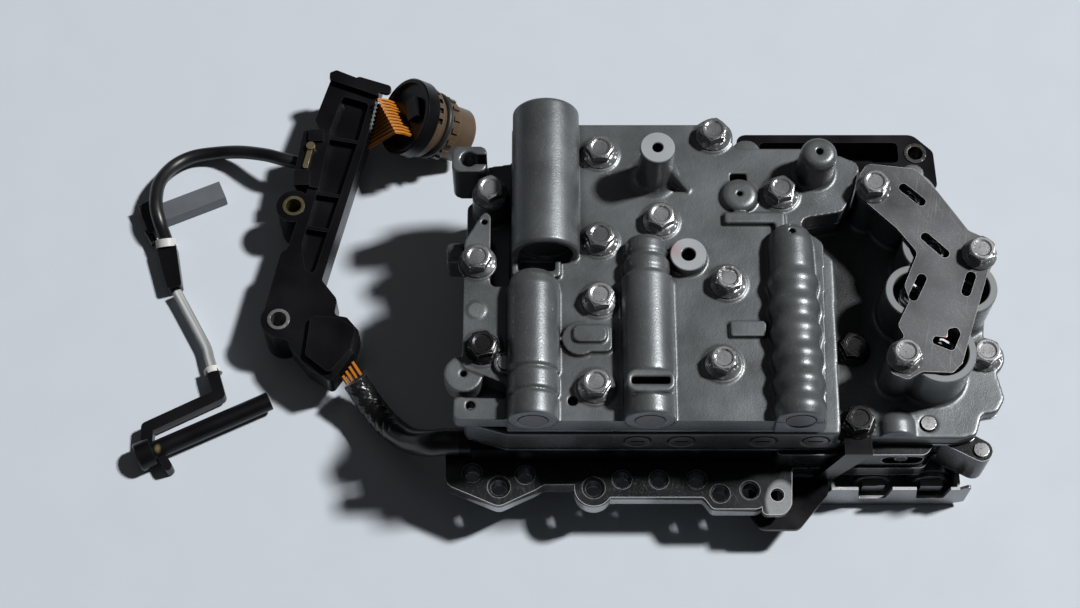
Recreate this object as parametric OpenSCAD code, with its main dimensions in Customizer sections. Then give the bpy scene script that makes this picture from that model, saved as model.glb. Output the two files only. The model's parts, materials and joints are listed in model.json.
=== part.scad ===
// Valve body of an automatic gearbox, with its solenoids, harness and two speed sensors.
// X runs to the right, Y to the rear and Z up. The origin is the feed port on the underside.

/* [Stack] */
// Height of the lower body's flange above the bench
foot_h = 20; // [20:0.5:26]
// Thickness of the lower body's flange
flange_t = 8; // [6:0.5:10]
// Height of the lower body's block above its flange
block_h = 12.5; // [12.5:0.5:16]
// Thickness of a separator plate
sep_t = 1.5; // [1:0.1:2.5]
// Height of the middle body
mid_h = 16.5; // [16:0.5:20]
// Thickness of the middle body's shelf under the accumulators
shelf_h = 6; // [5:0.5:8]
// Height of the accumulator towers above the shelf
tower_h = 24; // [22:0.5:28]
// Thickness of the upper body's deck
deck_t = 10; // [9:0.5:14]
// Thickness of the pressed accumulator cover
cover_t = 1.6; // [1:0.1:2.5]

/* [Valve bores] */
// Radius of the upper valve bores
spool_bore_r = 5.75; // [5:0.05:6.5]
// Wall of the upper body round a valve bore
bore_wall = 4.7; // [4:0.1:5.5]
// Height of the upper bore axes above the deck
bore_rise = 2; // [1:0.5:4]
// Radius of the middle valve bores
mid_bore_r = 5; // [4:0.05:5.5]
// Radial running clearance of a valve or piston
run_fit = 0.05; // [0.02:0.01:0.08]
// Length of an upper bore plug
plug_len = 16; // [15:0.5:20]
// Length of a middle bore plug
mid_plug_len = 10; // [8:0.5:14]
// Free space for a valve spring
spring_len = 14; // [12:0.5:18]
// Thickness of a plug keeper
key_t = 2.6; // [2:0.1:3]

/* [Damper] */
// Radius of the damper bore
damper_bore_r = 10; // [9:0.1:10.5]
// Wall of the damper barrel
damper_wall = 3.75; // [3:0.05:4.5]
// Height of the damper axis above the deck
damper_rise = 5; // [4:0.5:7]
// Length of the damper piston
damper_piston_len = 16; // [12:0.5:20]

/* [Accumulators] */
// Bore radius of the small accumulators
acc_small_r = 8.5; // [8:0.1:9]
// Bore radius of the medium accumulators
acc_mid_r = 9.2; // [8.8:0.1:9.6]
// Bore radius of the large accumulator
acc_large_r = 10.5; // [9.8:0.1:11]
// Wall of an accumulator tower
acc_wall = 3.2; // [3:0.1:3.6]
// Height of an accumulator piston
acc_piston_h = 11; // [9:0.5:13]

/* [Fasteners] */
// Width of a bolt head across its flats
bolt_af = 10; // [8:0.5:11]
// Height of a bolt's hexagon
bolt_hex_h = 5; // [4:0.5:6]
// Radius of a bolt's flange
bolt_flange_r = 7; // [6:0.1:7.2]
// Thickness of a bolt's flange
bolt_flange_h = 1.6; // [1:0.1:2.2]
// Radius of a bolt's shank
bolt_r = 3; // [2.5:0.1:3.2]
// Radial play of a bolt in a through hole
hole_gap = 0.3; // [0.2:0.05:0.4]
// Radius of a dowel pin
dowel_r = 3; // [2.5:0.1:3.3]

/* [Solenoids] */
// Radius of a solenoid can
can_r = 9; // [8:0.25:9]
// Length of a solenoid can
can_len = 36; // [30:1:38]
// Radius of a solenoid nose
nose_r = 5.5; // [4.5:0.1:6]
// Length of a solenoid nose
nose_len = 14; // [10:0.5:15]
// Thickness of the tray's sheet metal
tray_t = 1.2; // [1:0.1:1.5]

/* [Harness] */
// Height of the harness bracket's top
bracket_top = 24; // [22:0.5:26]
// Depth of the harness bracket
bracket_h = 12; // [10:0.5:14]
// Radius of the bolt hole in a bush
bush_bore_r = 3.4; // [3:0.1:3.6]
// Wall of a bush
bush_wall = 1.4; // [1:0.1:1.6]
// Outer radius of the round connector's collar
connector_r = 16; // [15:0.25:16.5]
// Diameter of the main harness sleeve
sleeve_d = 11; // [10:0.5:11]
// Diameter of the sensor cable
cable_d = 6; // [5:0.25:6.5]
// Diameter of the clear sensor lead
lead_d = 4.5; // [3.5:0.25:4.75]

/* [Hidden] */
$fn = 48;

// Heights of the stack, from the bench up
z_flange = foot_h;
z_block = z_flange + flange_t;
z_plate_1 = z_block + block_h;
z_mid = z_plate_1 + sep_t;
z_shelf = z_mid + shelf_h;
z_plate_2 = z_mid + mid_h;
z_up = z_plate_2 + sep_t;
z_deck = z_up + deck_t;
z_tower = z_shelf + tower_h;
z_cover = z_tower + cover_t;

// Small distances shared by many pieces
gap = 0.3;
over = 1;
arc_steps = 4;

// Upper valve bores: place across the body, and rear end of each cast bulge
front_y = -64;
bulge_front = front_y - 0.8;
spool_x = [-77.5, -32, 26.5];
bulge_back = [-1, 14, 18.5];
spool_z = z_deck + bore_rise;
spool_r = spool_bore_r - run_fit;
bulge_r = spool_bore_r + bore_wall;
bore_back = [for (y = bulge_back) y - bore_wall];
spool_front = front_y + plug_len + spring_len;
land_len = 7;
stem_r = 3.2;
key_y = front_y + 12;
key_w = 14.4;
key_foot_w = 10;
key_shoulder = 2;
key_play = 0.2;
key_pad_top = spool_z + bulge_r + 0.5;
key_end = bulge_r - 4.6;

// Damper barrel
damper_x = -72.4;
damper_z = z_deck + damper_rise;
damper_r = damper_bore_r + damper_wall;
damper_front = 5.7;
damper_back = 71.8;
damper_seat = 14;
damper_plug_len = 8;
damper_plug_y = damper_back - damper_plug_len - over;
damper_piston_y = damper_seat + gap;

// Middle valve bores
mid_front = -65;
mid_x = [-36, -18.5, 35];
mid_z = z_mid + mid_h / 2;
mid_valve_r = mid_bore_r - run_fit;
mid_bore_back = -2;
mid_valve_front = mid_front + mid_plug_len + spring_len;
manual_x = 14;
manual_front = -46;
manual_tail = 64;
mid_rear = 57;

// Accumulators: place and bore radius
acc = [
    [76, 34, acc_mid_r], [84, 11, acc_mid_r], [75, -9, acc_small_r], [97, -7, acc_small_r],
    [84, -35, acc_large_r]
];
acc_floor = z_mid + 4;
acc_piston_z = acc_floor + gap;
cup_floor = 3;
cup_wall = 2.4;

// Bolts: place on the deck, and place with seat height for the long ones
strap_t = 2;
seat_h = 0.6;
seat_r = bolt_flange_r + 0.9;
deck_bolts = [
    [-50, 54.7], [-2.8, 63.2], [-25.8, 23.5], [-50.6, 14.4], [-51, -12.3],
    [0.6, -4.8], [-2.8, -40], [-53, -49.8], [23.9, 35.9]
];
cover_bolts = [[61.7, 37], [102.2, 6.5], [68.5, -38.4]];
side_bolt_z = z_up + 3.5;
long_bolts = [
    [-100, 4.5, z_deck + seat_h], [-97.5, -33.5, z_deck + seat_h], [-95.4, 39.9, side_bolt_z],
    [106.5, -27, z_shelf], [53, -24.5, z_shelf], [52.5, -57, z_shelf + strap_t],
    [69, 52.5, z_shelf]
];
deck_bolt_tip = z_mid + 3;
cover_bolt_tip = z_shelf + 8;
long_bolt_tip = z_block + 2;
screw_fit = 0.05;

// Dowel pins: place, lower end and upper end
dowels = [
    [-88.4, -40, z_up + 1, z_deck + 2.4], [81, -56.5, z_mid + 1, z_shelf + 1],
    [103, -65, z_block, z_plate_1 + 1]
];

// Check balls in pockets under the upper separator plate
ball_r = 3;
ball_sites = [[-66, -20], [-66, 20], [2, 40], [32, 50]];
ball_pocket = 7;

// Solenoids under the flange and in the tray
sol_z = can_r + tray_t + gap;
row_x = [-86, -65, -44, -23];
row_face = -12;
tray_x = [63.3, 87.3];
tray_face = -30;
feed_r = 9;
feed_wall = 5;
feet = [[-101, -30, 5], [-95, 50, 6], [99, -20, 5], [96, 6, 6]];

// Outlines in plan: each corner is x, y and its rounding radius. A hole is x, y and its chamfer
deck_outline = [
    [-88, front_y, 1], [37, front_y, 2], [40.5, 14, 5], [27, 24, 5], [49, 28, 4], [54, 36, 3],
    [58, 50.5, 4], [42, 57.5, 4], [6, 57.5, 3], [4, 69, 5], [-86.5, 69, 3], [-86.5, -6, 3],
    [-95, -6, 3], [-95, 27, 2], [-98, 28, 2], [-105.5, 14.5, 4], [-105.5, -41, 3], [-88, -48.5, 1]
];
mid_outline = [
    [-105.5, -60, 4], [-88, mid_front, 2], [46, mid_front, 2], [48, -62, 2], [93, -63, 4],
    [100, -61.5, 3], [103, -52.5, 3], [109.5, -51.5, 4], [113, -45.5, 4], [111, -35, 6],
    [107, -18, 6], [109, -5, 8], [107, 16, 4], [98, 28, 6],
    [88, 43, 8], [80, 51, 4], [77, 60, 5], [62, 60, 5], [58, 53, 3],
    [46, mid_rear, 3], [6, mid_rear, 3], [3, 67, 5],
    [-60, 67, 4], [-99, 61, 4], [-100, 47, 3], [-105.5, 42, 3]
];
mid_block_outline = [
    [-105.5, -60, 4], [-88, mid_front, 2], [44, mid_front, 2], [46, 12, 4], [31, 26, 4],
    [50, 30, 4], [56, 50, 4], [46, mid_rear, 3], [6, mid_rear, 3], [3, 67, 5], [-86.5, 67, 3],
    [-86.5, -5, 3], [-95, -5, 3], [-95, 28, 2], [-105.5, 16, 4]
];
cover_outline = [
    [57, 32, 3], [56.5, 43, 4], [60, 48.5, 3], [80, 46, 4], [88, 35.5, 3], [99, 17.5, 4],
    [108, 13, 5], [107.5, 6, 3], [91, -41, 3], [87, -45, 2], [75, -44.5, 3], [69, -48, 3],
    [62, -45, 3], [63.5, -33.5, 3], [69.5, -30, 2], [67, -24.5, 2], [72.5, -14, 3], [71, -7, 3],
    [77.5, 7.5, 3], [70, 18.5, 4]
];
tower_web = [
    [76, 34, 0], [97, 15, 0], [103, 5, 0], [90, -35, 0], [70, -37, 0], [70, -9, 0], [80, 10, 0]
];
flange_outline = [
    [-113.5, -60, 4], [-113.5, -75, 5], [-91.5, -84.6, 5], [-76.5, -77.4, 4], [-73, -75.2, 2],
    [-58, -75.2, 1], [-47, -80.6, 1], [-8.5, -80.6, 2], [-5, -85.6, 3],
    [15, -85.6, 4], [17.5, -80, 3], [17.5, -68, 1], [82, -68, 4], [86, -62, 3], [98, -62, 3],
    [106, -45, 6], [104, -20, 6], [102, 10, 6], [90, 45, 8], [84, 56, 6], [40, 60, 5], [8, 60, 4],
    [4, 66, 5], [-60, 66, 5], [-98.5, 60, 5], [-99.5, 47, 3], [-105.5, 42, 3], [-105.5, -50, 4]
];
block_outline = [
    [-105.5, -46, 3], [20.5, -46, 2], [20.5, -67, 2], [81, -67, 4], [85, -61, 3], [97, -61, 3],
    [105, -45, 6], [103, -20, 6], [101, 10, 6], [89, 45, 8], [83, 55, 6], [40, 59, 5], [8, 59, 4],
    [4, 65, 5], [-60, 65, 5], [-98, 59, 5], [-99, 46, 3], [-105, 41, 3]
];
hole_chamfer = 0.8;
wide_chamfer = 1.4;
flange_holes = [
    [-102.5, -70.1, hole_chamfer], [-91.5, -76.1, wide_chamfer], [-80.9, -71, hole_chamfer],
    [-53, -76.5, wide_chamfer], [-41.4, -73, hole_chamfer], [-26.4, -73, hole_chamfer],
    [-11, -73, hole_chamfer], [-1.7, -79, hole_chamfer], [10.5, -77.5, hole_chamfer]
];
flange_hole_r = 3.3;
flange_boss = flange_holes[3];
flange_boss_r = 7.9;
strap_hole = [21.5, -79.5];
strap_hole_r = 2.8;

// Lead frame along the front
frame_left = -103.5;
frame_right = 19.5;
frame_front = -65;
frame_rear = -46.8;
frame_top = z_plate_1 - gap;

// Oil strainer behind and below
strainer_outline = [
    [12, 61, 3], [99, 61, 3], [98.5, 80, 4], [90, 88.5, 6], [12, 88.5, 4]
];
strainer_pan = [[16, 20, 5], [88, 20, 5], [90, 62, 1], [16, 62, 1]];
strainer_top = z_block;
strainer_bush = [90.5, 79];

// Harness bracket and what it carries
bracket_z = bracket_top - bracket_h;
bracket_outline = [
    [-168.6, 121.8, 2], [-175.4, 98.4, 2], [-173.4, 94, 2], [-177, 63, 3], [-184, 34.5, 4],
    [-187, 32, 4], [-193.5, 0, 6],
    [-189, -7.5, 5], [-181, -9, 3], [-180.5, -12.5, 4], [-173, -21.5, 3], [-162.5, -28.5, 2],
    [-153.5, -15, 2], [-151.5, -5, 2], [-157, 1.5, 2], [-162.5, 2.5, 2], [-161.5, 10, 4],
    [-168.5, 19, 2], [-152, 88, 3], [-148, 113, 2]
];
bracket_bushes = [[-182.5, 55], [-186, 0.5]];
bush_r = bush_bore_r + bush_wall;
ear_r = bush_r + 3;
clamp_outline = [[-183.5, 66, 2], [-172, 63, 1], [-168, 90, 1], [-180, 93, 2]];
clamp_top = bracket_top + 1.5;

// Round connector, set on a slanting axis that points at the bench
connector_at = [-134, 96.5, 30];
connector_tilt = 42;
connector_yaw = 6;
insert_t = 5;
collar_t = 4;
barrel_len = 11;
barrel_r = connector_r - 2.2;
nose_end_r = connector_r - 3.8;
nose_end_len = 11;
seal_r = 1.5;

// Routes of the cords
sleeve_route = [
    [-108, -59, 34.4], [-114, -59, 34.4], [-120, -58.5, 31.5], [-129, -53.5, 22], [-138, -44.5, 14.5],
    [-145.5, -35, 12.5], [-150, -29, 15], [-153, -25, 17.5]
];
cable_route = [
    [-182.4, 80, 18], [-190, 82, 18], [-198, 85.5, 15.5], [-210, 90, 10], [-222, 92, 5.5],
    [-233, 90.5, 4.5], [-241, 84.5, 6], [-245.5, 74, 10], [-245.5, 62, 12.5], [-243.5, 54, 11.4],
    [-241, 47.5, 6.5]
];
lead_route = [
    [-234.4, 22.6, 4.4], [-231.5, 17.5, 4.1], [-227, 9.5, 4], [-222.5, 1.5, 4], [-219.4, -4.2, 4],
    [-217.8, -9.2, 4.1], [-216.2, -14, 4.2]
];
arm_route = [[-215.4, -16.6], [-212, -27], [-241.3, -42], [-241, -51]];
arm_r = 2.6;
arm_z = [2.2, 7.4];
boot_route = [[-240.5, 44.2], [-235, 23.5]];
boot_band_z = 5.2;
boot_z = [1.4, 7.6];
band_wall = 1.6;

// Speed sensors lying on the bench: foot end and tip
input_foot = [-249, 58.5, 4];
input_tip = [-217.5, 72.5, 4];
output_head = [-244.5, -55.7, 6.3];
output_tip = [-190.2, -29.6, 6.3];

// Vector of length one
function unit(v) = v / norm(v);

// Points that round one corner q between its neighbours p and s
function corner(p, q, s) =
    let (
        a = [p.x - q.x, p.y - q.y],
        b = [s.x - q.x, s.y - q.y],
        u = unit(a),
        v = unit(b),
        half = acos(max(-1, min(1, u * v))) / 2,
        t = min(q.z / tan(half), 0.48 * norm(a), 0.48 * norm(b)),
        r = t * tan(half),
        c = [q.x, q.y] + unit(u + v) * r / sin(half),
        from = [q.x, q.y] + u * t - c,
        to = [q.x, q.y] + v * t - c,
        a_0 = atan2(from.y, from.x),
        turn = atan2(from.x * to.y - from.y * to.x, from * to)
    )
    q.z == 0 ? [[q.x, q.y]]
    : [for (i = [0:arc_steps]) c + r * [cos(a_0 + turn * i / arc_steps), sin(a_0 + turn * i / arc_steps)]];

// Closed outline with all its corners rounded
function rounded(pts) =
    let (n = len(pts))
    [for (i = [0:n - 1]) each corner(pts[(i + n - 1) % n], pts[i], pts[(i + 1) % n])];

// Outline of a slot with round ends between two centres
function strip(p, q, r) =
    let (d = unit(q - p) * r, n = [-d.y, d.x])
    [for (c = [p - d - n, q + d - n, q + d + n, p - d + n]) [c.x, c.y, r]];

// Outline of a strip between two places, a half-wide at p and b half-wide at q
function taper(p, q, a, b, r) =
    let (d = unit(q - p), n = [-d.y, d.x])
    [for (c = [p - n * a, q - n * b, q + n * b, p + n * a]) [c.x, c.y, r]];

// Rectangle in plan with all its corners rounded
function panel(x, y, r) = [[x[0], y[0], r], [x[1], y[0], r], [x[1], y[1], r], [x[0], y[1], r]];

// Direction of a route at its point i
function heading(route, i) =
    unit(route[min(i + 1, len(route) - 1)] - route[max(i - 1, 0)]);

// Ring of points square to the route at its point i
function ring(route, i, r, sides) =
    let (t = heading(route, i), n = unit(cross([0, 0, 1], t)), m = cross(t, n))
    [for (k = [0:sides - 1]) route[i] + r * (cos(360 * k / sides) * n + sin(360 * k / sides) * m)];

// Round tube swept along a route
module tube(route, r, sides = 8) {
    count = len(route);
    last = (count - 1) * sides;
    skin = [
        for (i = [0:count - 2], k = [0:sides - 1])
            let (n = (k + 1) % sides, a = i * sides, b = (i + 1) * sides)
            each [[a + k, b + k, b + n], [a + k, b + n, a + n]]
    ];
    start = [for (k = [0:sides - 1]) k];
    finish = [for (k = [sides - 1:-1:0]) last + k];
    polyhedron([for (i = [0:count - 1]) each ring(route, i, r, sides)], concat(skin, [start, finish]));
}

// Coil spring that stands on z = 0
module coil(height, turns, mean_r, wire_r) {
    steps = 9 * turns;
    tube([
        for (i = [0:steps])
            [mean_r * cos(360 * i * turns / steps), mean_r * sin(360 * i * turns / steps),
             wire_r * 1.2 + (height - wire_r * 2.4) * i / steps]
    ], wire_r, 6);
}

// Plain solids placed by their limits
module block(x, y, z) {
    translate([x[0], y[0], z[0]])
        cube([x[1] - x[0], y[1] - y[0], z[1] - z[0]]);
}
module slab(outline, z) {
    translate([0, 0, z[0]])
        linear_extrude(z[1] - z[0])
            polygon(rounded(outline));
}
module post(p, z, r) {
    translate([p.x, p.y, z[0]])
        cylinder(r = r, h = z[1] - z[0]);
}
module bar(x, y, z, r) {
    translate([x, y[0], z])
        rotate([-90, 0, 0])
            cylinder(r = r, h = y[1] - y[0]);
}
module turned(p, profile) {
    translate(p)
        rotate_extrude()
            polygon(profile);
}
module turned_back(p, profile) {
    translate(p)
        rotate([-90, 0, 0])
            rotate_extrude()
                polygon(profile);
}
// Frame with its Z axis from p towards q
module along(p, q) {
    d = q - p;
    translate(p)
        rotate([0, acos(d.z / norm(d)), atan2(d.y, d.x)])
            children();
}

// Profiles of the three cast bulges, as radius and distance from the front
function smooth_bulge(len) = [
    [0, 0], [bulge_r - 0.9, 0], [bulge_r - 0.5, 1.5], [bulge_r - 0.5, 9], [bulge_r - 1.3, 10.3],
    [bulge_r - 0.3, 11.6], [bulge_r - 0.3, 18.4], [bulge_r - 1.1, 19.8], [bulge_r, 21.2],
    [bulge_r, len - 8], [bulge_r - 0.8, len - 4], [bulge_r - 3, len - 1.2], [bulge_r - 5.5, len],
    [0, len]
];
function beaded_bulge(len) = [
    [0, 0], [bulge_r - 0.7, 0], [bulge_r - 0.3, 1.5], [bulge_r - 0.3, 18], [bulge_r, 20],
    [bulge_r, len - 18.5], [bulge_r - 1.6, len - 16.8], [bulge_r - 0.9, len - 14.6],
    [bulge_r - 1.1, len - 11], [bulge_r - 2.4, len - 9], [bulge_r - 1.7, len - 7],
    [bulge_r - 1.9, len - 3], [bulge_r - 3, len - 1], [bulge_r - 5, len], [0, len]
];
ridge_pitch = 10.8;
ridge_step = ridge_pitch / 8;
ridge_h = 0.65;
function ridged_bulge(len) = concat(
    [[0, 0]],
    [for (i = [0:48])
        [bulge_r - ridge_h * (1 - cos(360 * (i * ridge_step - 4.4) / ridge_pitch)), i * ridge_step]],
    [[bulge_r - 1.2, len - 15], [bulge_r - 1.4, len - 7], [bulge_r - 2.4, len - 2.5],
     [bulge_r - 4.5, len], [0, len]]
);

// Holes for bolts through a layer
module bolt_holes(sites, z, play) {
    for (p = sites)
        post(p, z, bolt_r + play);
}

// Cast posts, bosses and lands on the deck
tall_post = [-27.6, 44];
tall_post_h = 25;
washer_post = [-15.1, 6.1];
washer_post_h = 5;
cap_post = [38.5, 46.2];
cap_post_h = 18;
dome_boss = [7, 34.8];
cup_boss = [-59, -29.5];
left_boss = [-105, -43.6];
left_pad_hole = [-102.1, -57];
web_hole = [-97.5, 23.3];
rear_boss = [11.3, 57.5];
pad_h = 2;
step_h = 2.4;
step_outline = [
    [0.3, 21.6, 0.8], [20.8, 21.6, 0.8], [20.8, 17.5, 0.8], [25, 17.5, 0.8], [25, 26.8, 0.8], [0.3, 26.8, 0.8]
];
plateau_h = 3.6;
module deck_features() {
    turned([tall_post.x, tall_post.y, z_deck - over],
        [[0, 0], [10, 0], [10, over], [8, over + 1.2], [7.2, over + 3.5],
         [7.1, over + tall_post_h - 0.5], [6.6, over + tall_post_h], [0, over + tall_post_h]]);
    translate([tall_post.x, tall_post.y, z_deck - over])
        rotate([90, 0, -24])
            translate([0, 0, -1])
                linear_extrude(2)
                    polygon([[0, 0], [16, 0], [16, over], [7, over + 12], [0, over + 12]]);
    turned([washer_post.x, washer_post.y, z_deck - over],
        [[0, 0], [8, 0], [8, over], [7.4, over + 0.6], [7.4, over + washer_post_h - 0.4],
         [7, over + washer_post_h], [0, over + washer_post_h]]);
    turned([cap_post.x, cap_post.y, z_deck - over],
        [[0, 0], [8.6, 0], [8.6, over], [7.8, over + 1.2], [7.6, over + 14], [7.3, over + 15.8],
         [6.4, over + 17.2], [5, over + 17.9], [3.4, over + cap_post_h], [0, over + cap_post_h]]);
    turned([dome_boss.x, dome_boss.y, z_deck - over],
        [[0, 0], [7.8, 0], [7.8, over], [7.5, over + 1.6], [6.6, over + 2.7], [5, over + 3.2],
         [0, over + 3.3]]);
    slab(step_outline, [z_deck - over, z_deck + step_h]);
    slab(panel([0.6, 15], [-28.6, -22], 0.8), [z_deck - over, z_deck + pad_h]);
    post(cup_boss, [z_deck - over, z_deck + pad_h], 7.2);
    slab(panel([cup_boss.x, -46.2], [-35.3, -23.4], 2.5), [z_deck - over, z_deck + pad_h]);
    slab(panel([-61.7, -48.4], [-31.6, -24.3], 2.6), [z_deck - over, z_deck + plateau_h]);
    post([-100.3, -16.4], [z_deck - over, z_deck + 0.4], 3.6);
    post(dowels[0], [z_deck - over, z_deck + pad_h], dowel_r + 1.8);
    post(left_boss, [z_up, z_deck - 0.6], 7.8);
    slab([[-108.8, -63, 2], [-86, -63, 1], [-86, -54, 1], [-108.8, -53.4, 2]], [z_up + 1.5, z_deck - 0.9]);
    slab(panel([spool_x[1] - 9.5, spool_x[1] + 9.5], [key_y - 4.8, key_y + 4.8], 4),
        [z_deck - over, key_pad_top]);
    slab(panel([-86, -66.5], [-2.5, 8], 1.5), [z_deck - over, z_deck + 2.2]);
    block([spool_x[2] - 9.7, spool_x[2] + 10.2], [bulge_front - 0.6, front_y + over],
        [z_up + over, z_deck + over]);
    post(rear_boss, [z_up, z_deck - 3], 6);
}
module deck_pockets() {
    post(tall_post, [z_deck + 8, z_deck + tall_post_h + over], 2.3);
    post(washer_post, [z_deck - 6, z_deck + washer_post_h + over], 2.7);
    post(cap_post, [z_deck + 6, z_deck + cap_post_h + over], 1.4);
    post(dome_boss, [z_deck - 4, z_deck + 5], 1.1);
    block([dome_boss.x - 3.4, dome_boss.x + 3.4], [41.4, 45.6], [z_deck - 6, z_deck + over]);
    post(left_boss, [z_up - over, z_deck + over], 1.3);
    post(left_pad_hole, [z_up - over, z_deck + over], 1.8);
    post(web_hole, [z_up - over, z_deck + over], 1.2);
    post([-62, -55.5], [z_deck - 6, z_deck + over], 2);
    slab(panel([-83.6, -68.9], [0, 9], 1), [z_deck - 7, z_deck + 4]);
    post([spool_x[2], bulge_back[2] - 4.5], [spool_z + 6, spool_z + 12], 1.2);
}

// Slot that takes a plug keeper
module key_slot(x, z) {
    half_w = key_w / 2 + key_play;
    half_t = key_t / 2 + key_play;
    block([x - half_w, x + half_w], [key_y - half_t, key_y + half_t], z);
}

module upper_valve_body() {
    color("dimgray")
    difference() {
        union() {
            slab(deck_outline, [z_up, z_deck]);
            post(deck_bolts[1], [z_up, z_deck], 8.5);
            turned_back([spool_x[0], bulge_front, spool_z], smooth_bulge(bulge_back[0] - bulge_front));
            turned_back([spool_x[1], bulge_front, spool_z], beaded_bulge(bulge_back[1] - bulge_front));
            turned_back([spool_x[2], bulge_front, spool_z], ridged_bulge(bulge_back[2] - bulge_front));
            turned_back([damper_x, damper_front, damper_z],
                [[0, 0], [damper_r - 1, 0], [damper_r, 1], [damper_r, damper_back - damper_front - 1.2],
                 [damper_r - 1.2, damper_back - damper_front], [0, damper_back - damper_front]]);
            for (p = deck_bolts)
                post(p, [z_deck - over, z_deck + seat_h], seat_r);
            for (i = [0, 1])
                post(long_bolts[i], [z_deck - over, z_deck + seat_h], seat_r);
            deck_features();
        }
        deck_pockets();
        for (i = [0:2])
            bar(spool_x[i], [bulge_front - over, bore_back[i]], spool_z, spool_bore_r);
        for (i = [0, 2])
            key_slot(spool_x[i], [z_up - over, spool_z - key_shoulder]);
        key_slot(spool_x[1], [spool_z + key_shoulder, key_pad_top + over]);
        bar(damper_x, [damper_front - over, damper_front + 5], damper_z, damper_bore_r + 0.8);
        bar(damper_x, [damper_seat, damper_back + over], damper_z, damper_bore_r);
        bolt_holes(deck_bolts, [z_up - over, z_deck + seat_h + over], hole_gap);
        bolt_holes([long_bolts[0], long_bolts[1]], [z_up - over, z_deck + seat_h + over], hole_gap);
        post(dowels[0], [dowels[0][2], z_deck + pad_h + over], dowel_r + screw_fit);
    }
}

module upper_separator_plate() {
    color("silver")
    difference() {
        union() {
            slab(deck_outline, [z_plate_2, z_up]);
            post(deck_bolts[1], [z_plate_2, z_up], 8.5);
        }
        bolt_holes(deck_bolts, [z_plate_2 - over, z_up + over], hole_gap);
        bolt_holes([long_bolts[0], long_bolts[1]], [z_plate_2 - over, z_up + over], hole_gap);
        for (p = ball_sites)
            post(p, [z_plate_2 - over, z_up + over], ball_r * 0.6);
    }
}

// Lug at the left rear of the middle body
lug_hole = [-104.5, 55];
lug_hole_r = 3.4;
lug_top = z_up + 6;
lug_slot = 2.2;
tower_boss = [80, 47];
shelf_bulge = [68.3, -62, z_shelf - 3.5];
shelf_bulge_r = 8;
module middle_valve_body() {
    color("dimgray")
    difference() {
        union() {
            slab(mid_outline, [z_mid, z_shelf]);
            slab(mid_block_outline, [z_shelf - over, z_plate_2]);
            for (a = acc)
                post(a, [z_shelf - over, z_tower], a[2] + acc_wall);
            slab(tower_web, [z_shelf - over, z_tower - 3]);
            for (p = cover_bolts)
                post(p, [z_shelf - over, z_tower], bolt_r + 3.6);
            post(long_bolts[2], [z_mid, side_bolt_z], 7.6);
            post(long_bolts[3], [z_mid, z_shelf], 8.2);
            slab(panel([-111.6, -97], [49, 61.2], 3), [z_mid, lug_top]);
            slab(panel([-113.4, -100], [11.5, 20.5], 1.5), [z_mid, z_plate_2 - 2]);
            post([-109.6, 16], [z_plate_2 - 3, z_plate_2 - 0.5], 3.4);
            post(tower_boss, [z_shelf - over, z_tower - 4], 4.6);
            intersection() {
                turned_back(shelf_bulge,
                    [[0, 0], [shelf_bulge_r, 0], [shelf_bulge_r, 6], [shelf_bulge_r - 1, 9],
                     [shelf_bulge_r - 3.5, 11.2], [0, 12]]);
                post([shelf_bulge.x, shelf_bulge.y + 5], [z_mid + over, z_tower], 2 * shelf_bulge_r);
            }
        }
        for (a = acc)
            post(a, [acc_floor, z_tower + over], a[2]);
        for (x = mid_x)
            bar(x, [mid_front - over, mid_bore_back], mid_z, mid_bore_r);
        bar(manual_x, [mid_front - over, mid_rear + over], mid_z, mid_bore_r);
        bolt_holes(deck_bolts, [deck_bolt_tip - over, z_plate_2 + over], screw_fit);
        bolt_holes(cover_bolts, [cover_bolt_tip - over, z_tower + over], screw_fit);
        bolt_holes(long_bolts, [z_mid - over, z_deck + over], hole_gap);
        for (p = ball_sites)
            post(p, [z_plate_2 - ball_pocket, z_plate_2 + over], ball_r + 0.4);
        post(dowels[1], [dowels[1][2], z_shelf + over], dowel_r + screw_fit);
        post(lug_hole, [z_mid - over, lug_top + over], lug_hole_r);
        block([lug_hole.x, -90], [lug_hole.y - lug_slot, lug_hole.y + lug_slot],
            [z_shelf + 8, lug_top + over]);
    }
}

module lower_separator_plate() {
    color("silver")
    difference() {
        slab(mid_outline, [z_plate_1, z_mid]);
        bolt_holes(long_bolts, [z_plate_1 - over, z_mid + over], hole_gap);
    }
}

// Cast block that takes the noses of a row of solenoids
module nose_block(xs, face) {
    side = can_r + 1.5;
    block([xs[0] - side, xs[len(xs) - 1] + side], [face, face + nose_len + 4], [2, z_flange + over]);
}
module nose_bores(xs, face) {
    for (x = xs)
        bar(x, [face - over, face + nose_len + over], sol_z, nose_r + run_fit);
}
module flange_hole(p) {
    chamfer = p[2];
    post(p, [z_flange - over, z_block + over], flange_hole_r);
    turned([p.x, p.y, z_block - chamfer],
        [[0, 0], [flange_hole_r, 0], [flange_hole_r + chamfer + over, chamfer + over],
         [0, chamfer + over]]);
}
lug_r = 7.5;
front_lug_root = [90, -58];
front_lug_r = dowel_r + 1.7;
ear_t = 3;
ear_outline = [[15, -66, 0], [28.3, -66, 1], [27.2, -84, 4], [24, -88, 4], [15, -88, 2]];
gallery_x = [67.5, 76.5];
gallery_z = z_block + 6.5;
gallery_r = 4;
gallery_y = 65.2;
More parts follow.
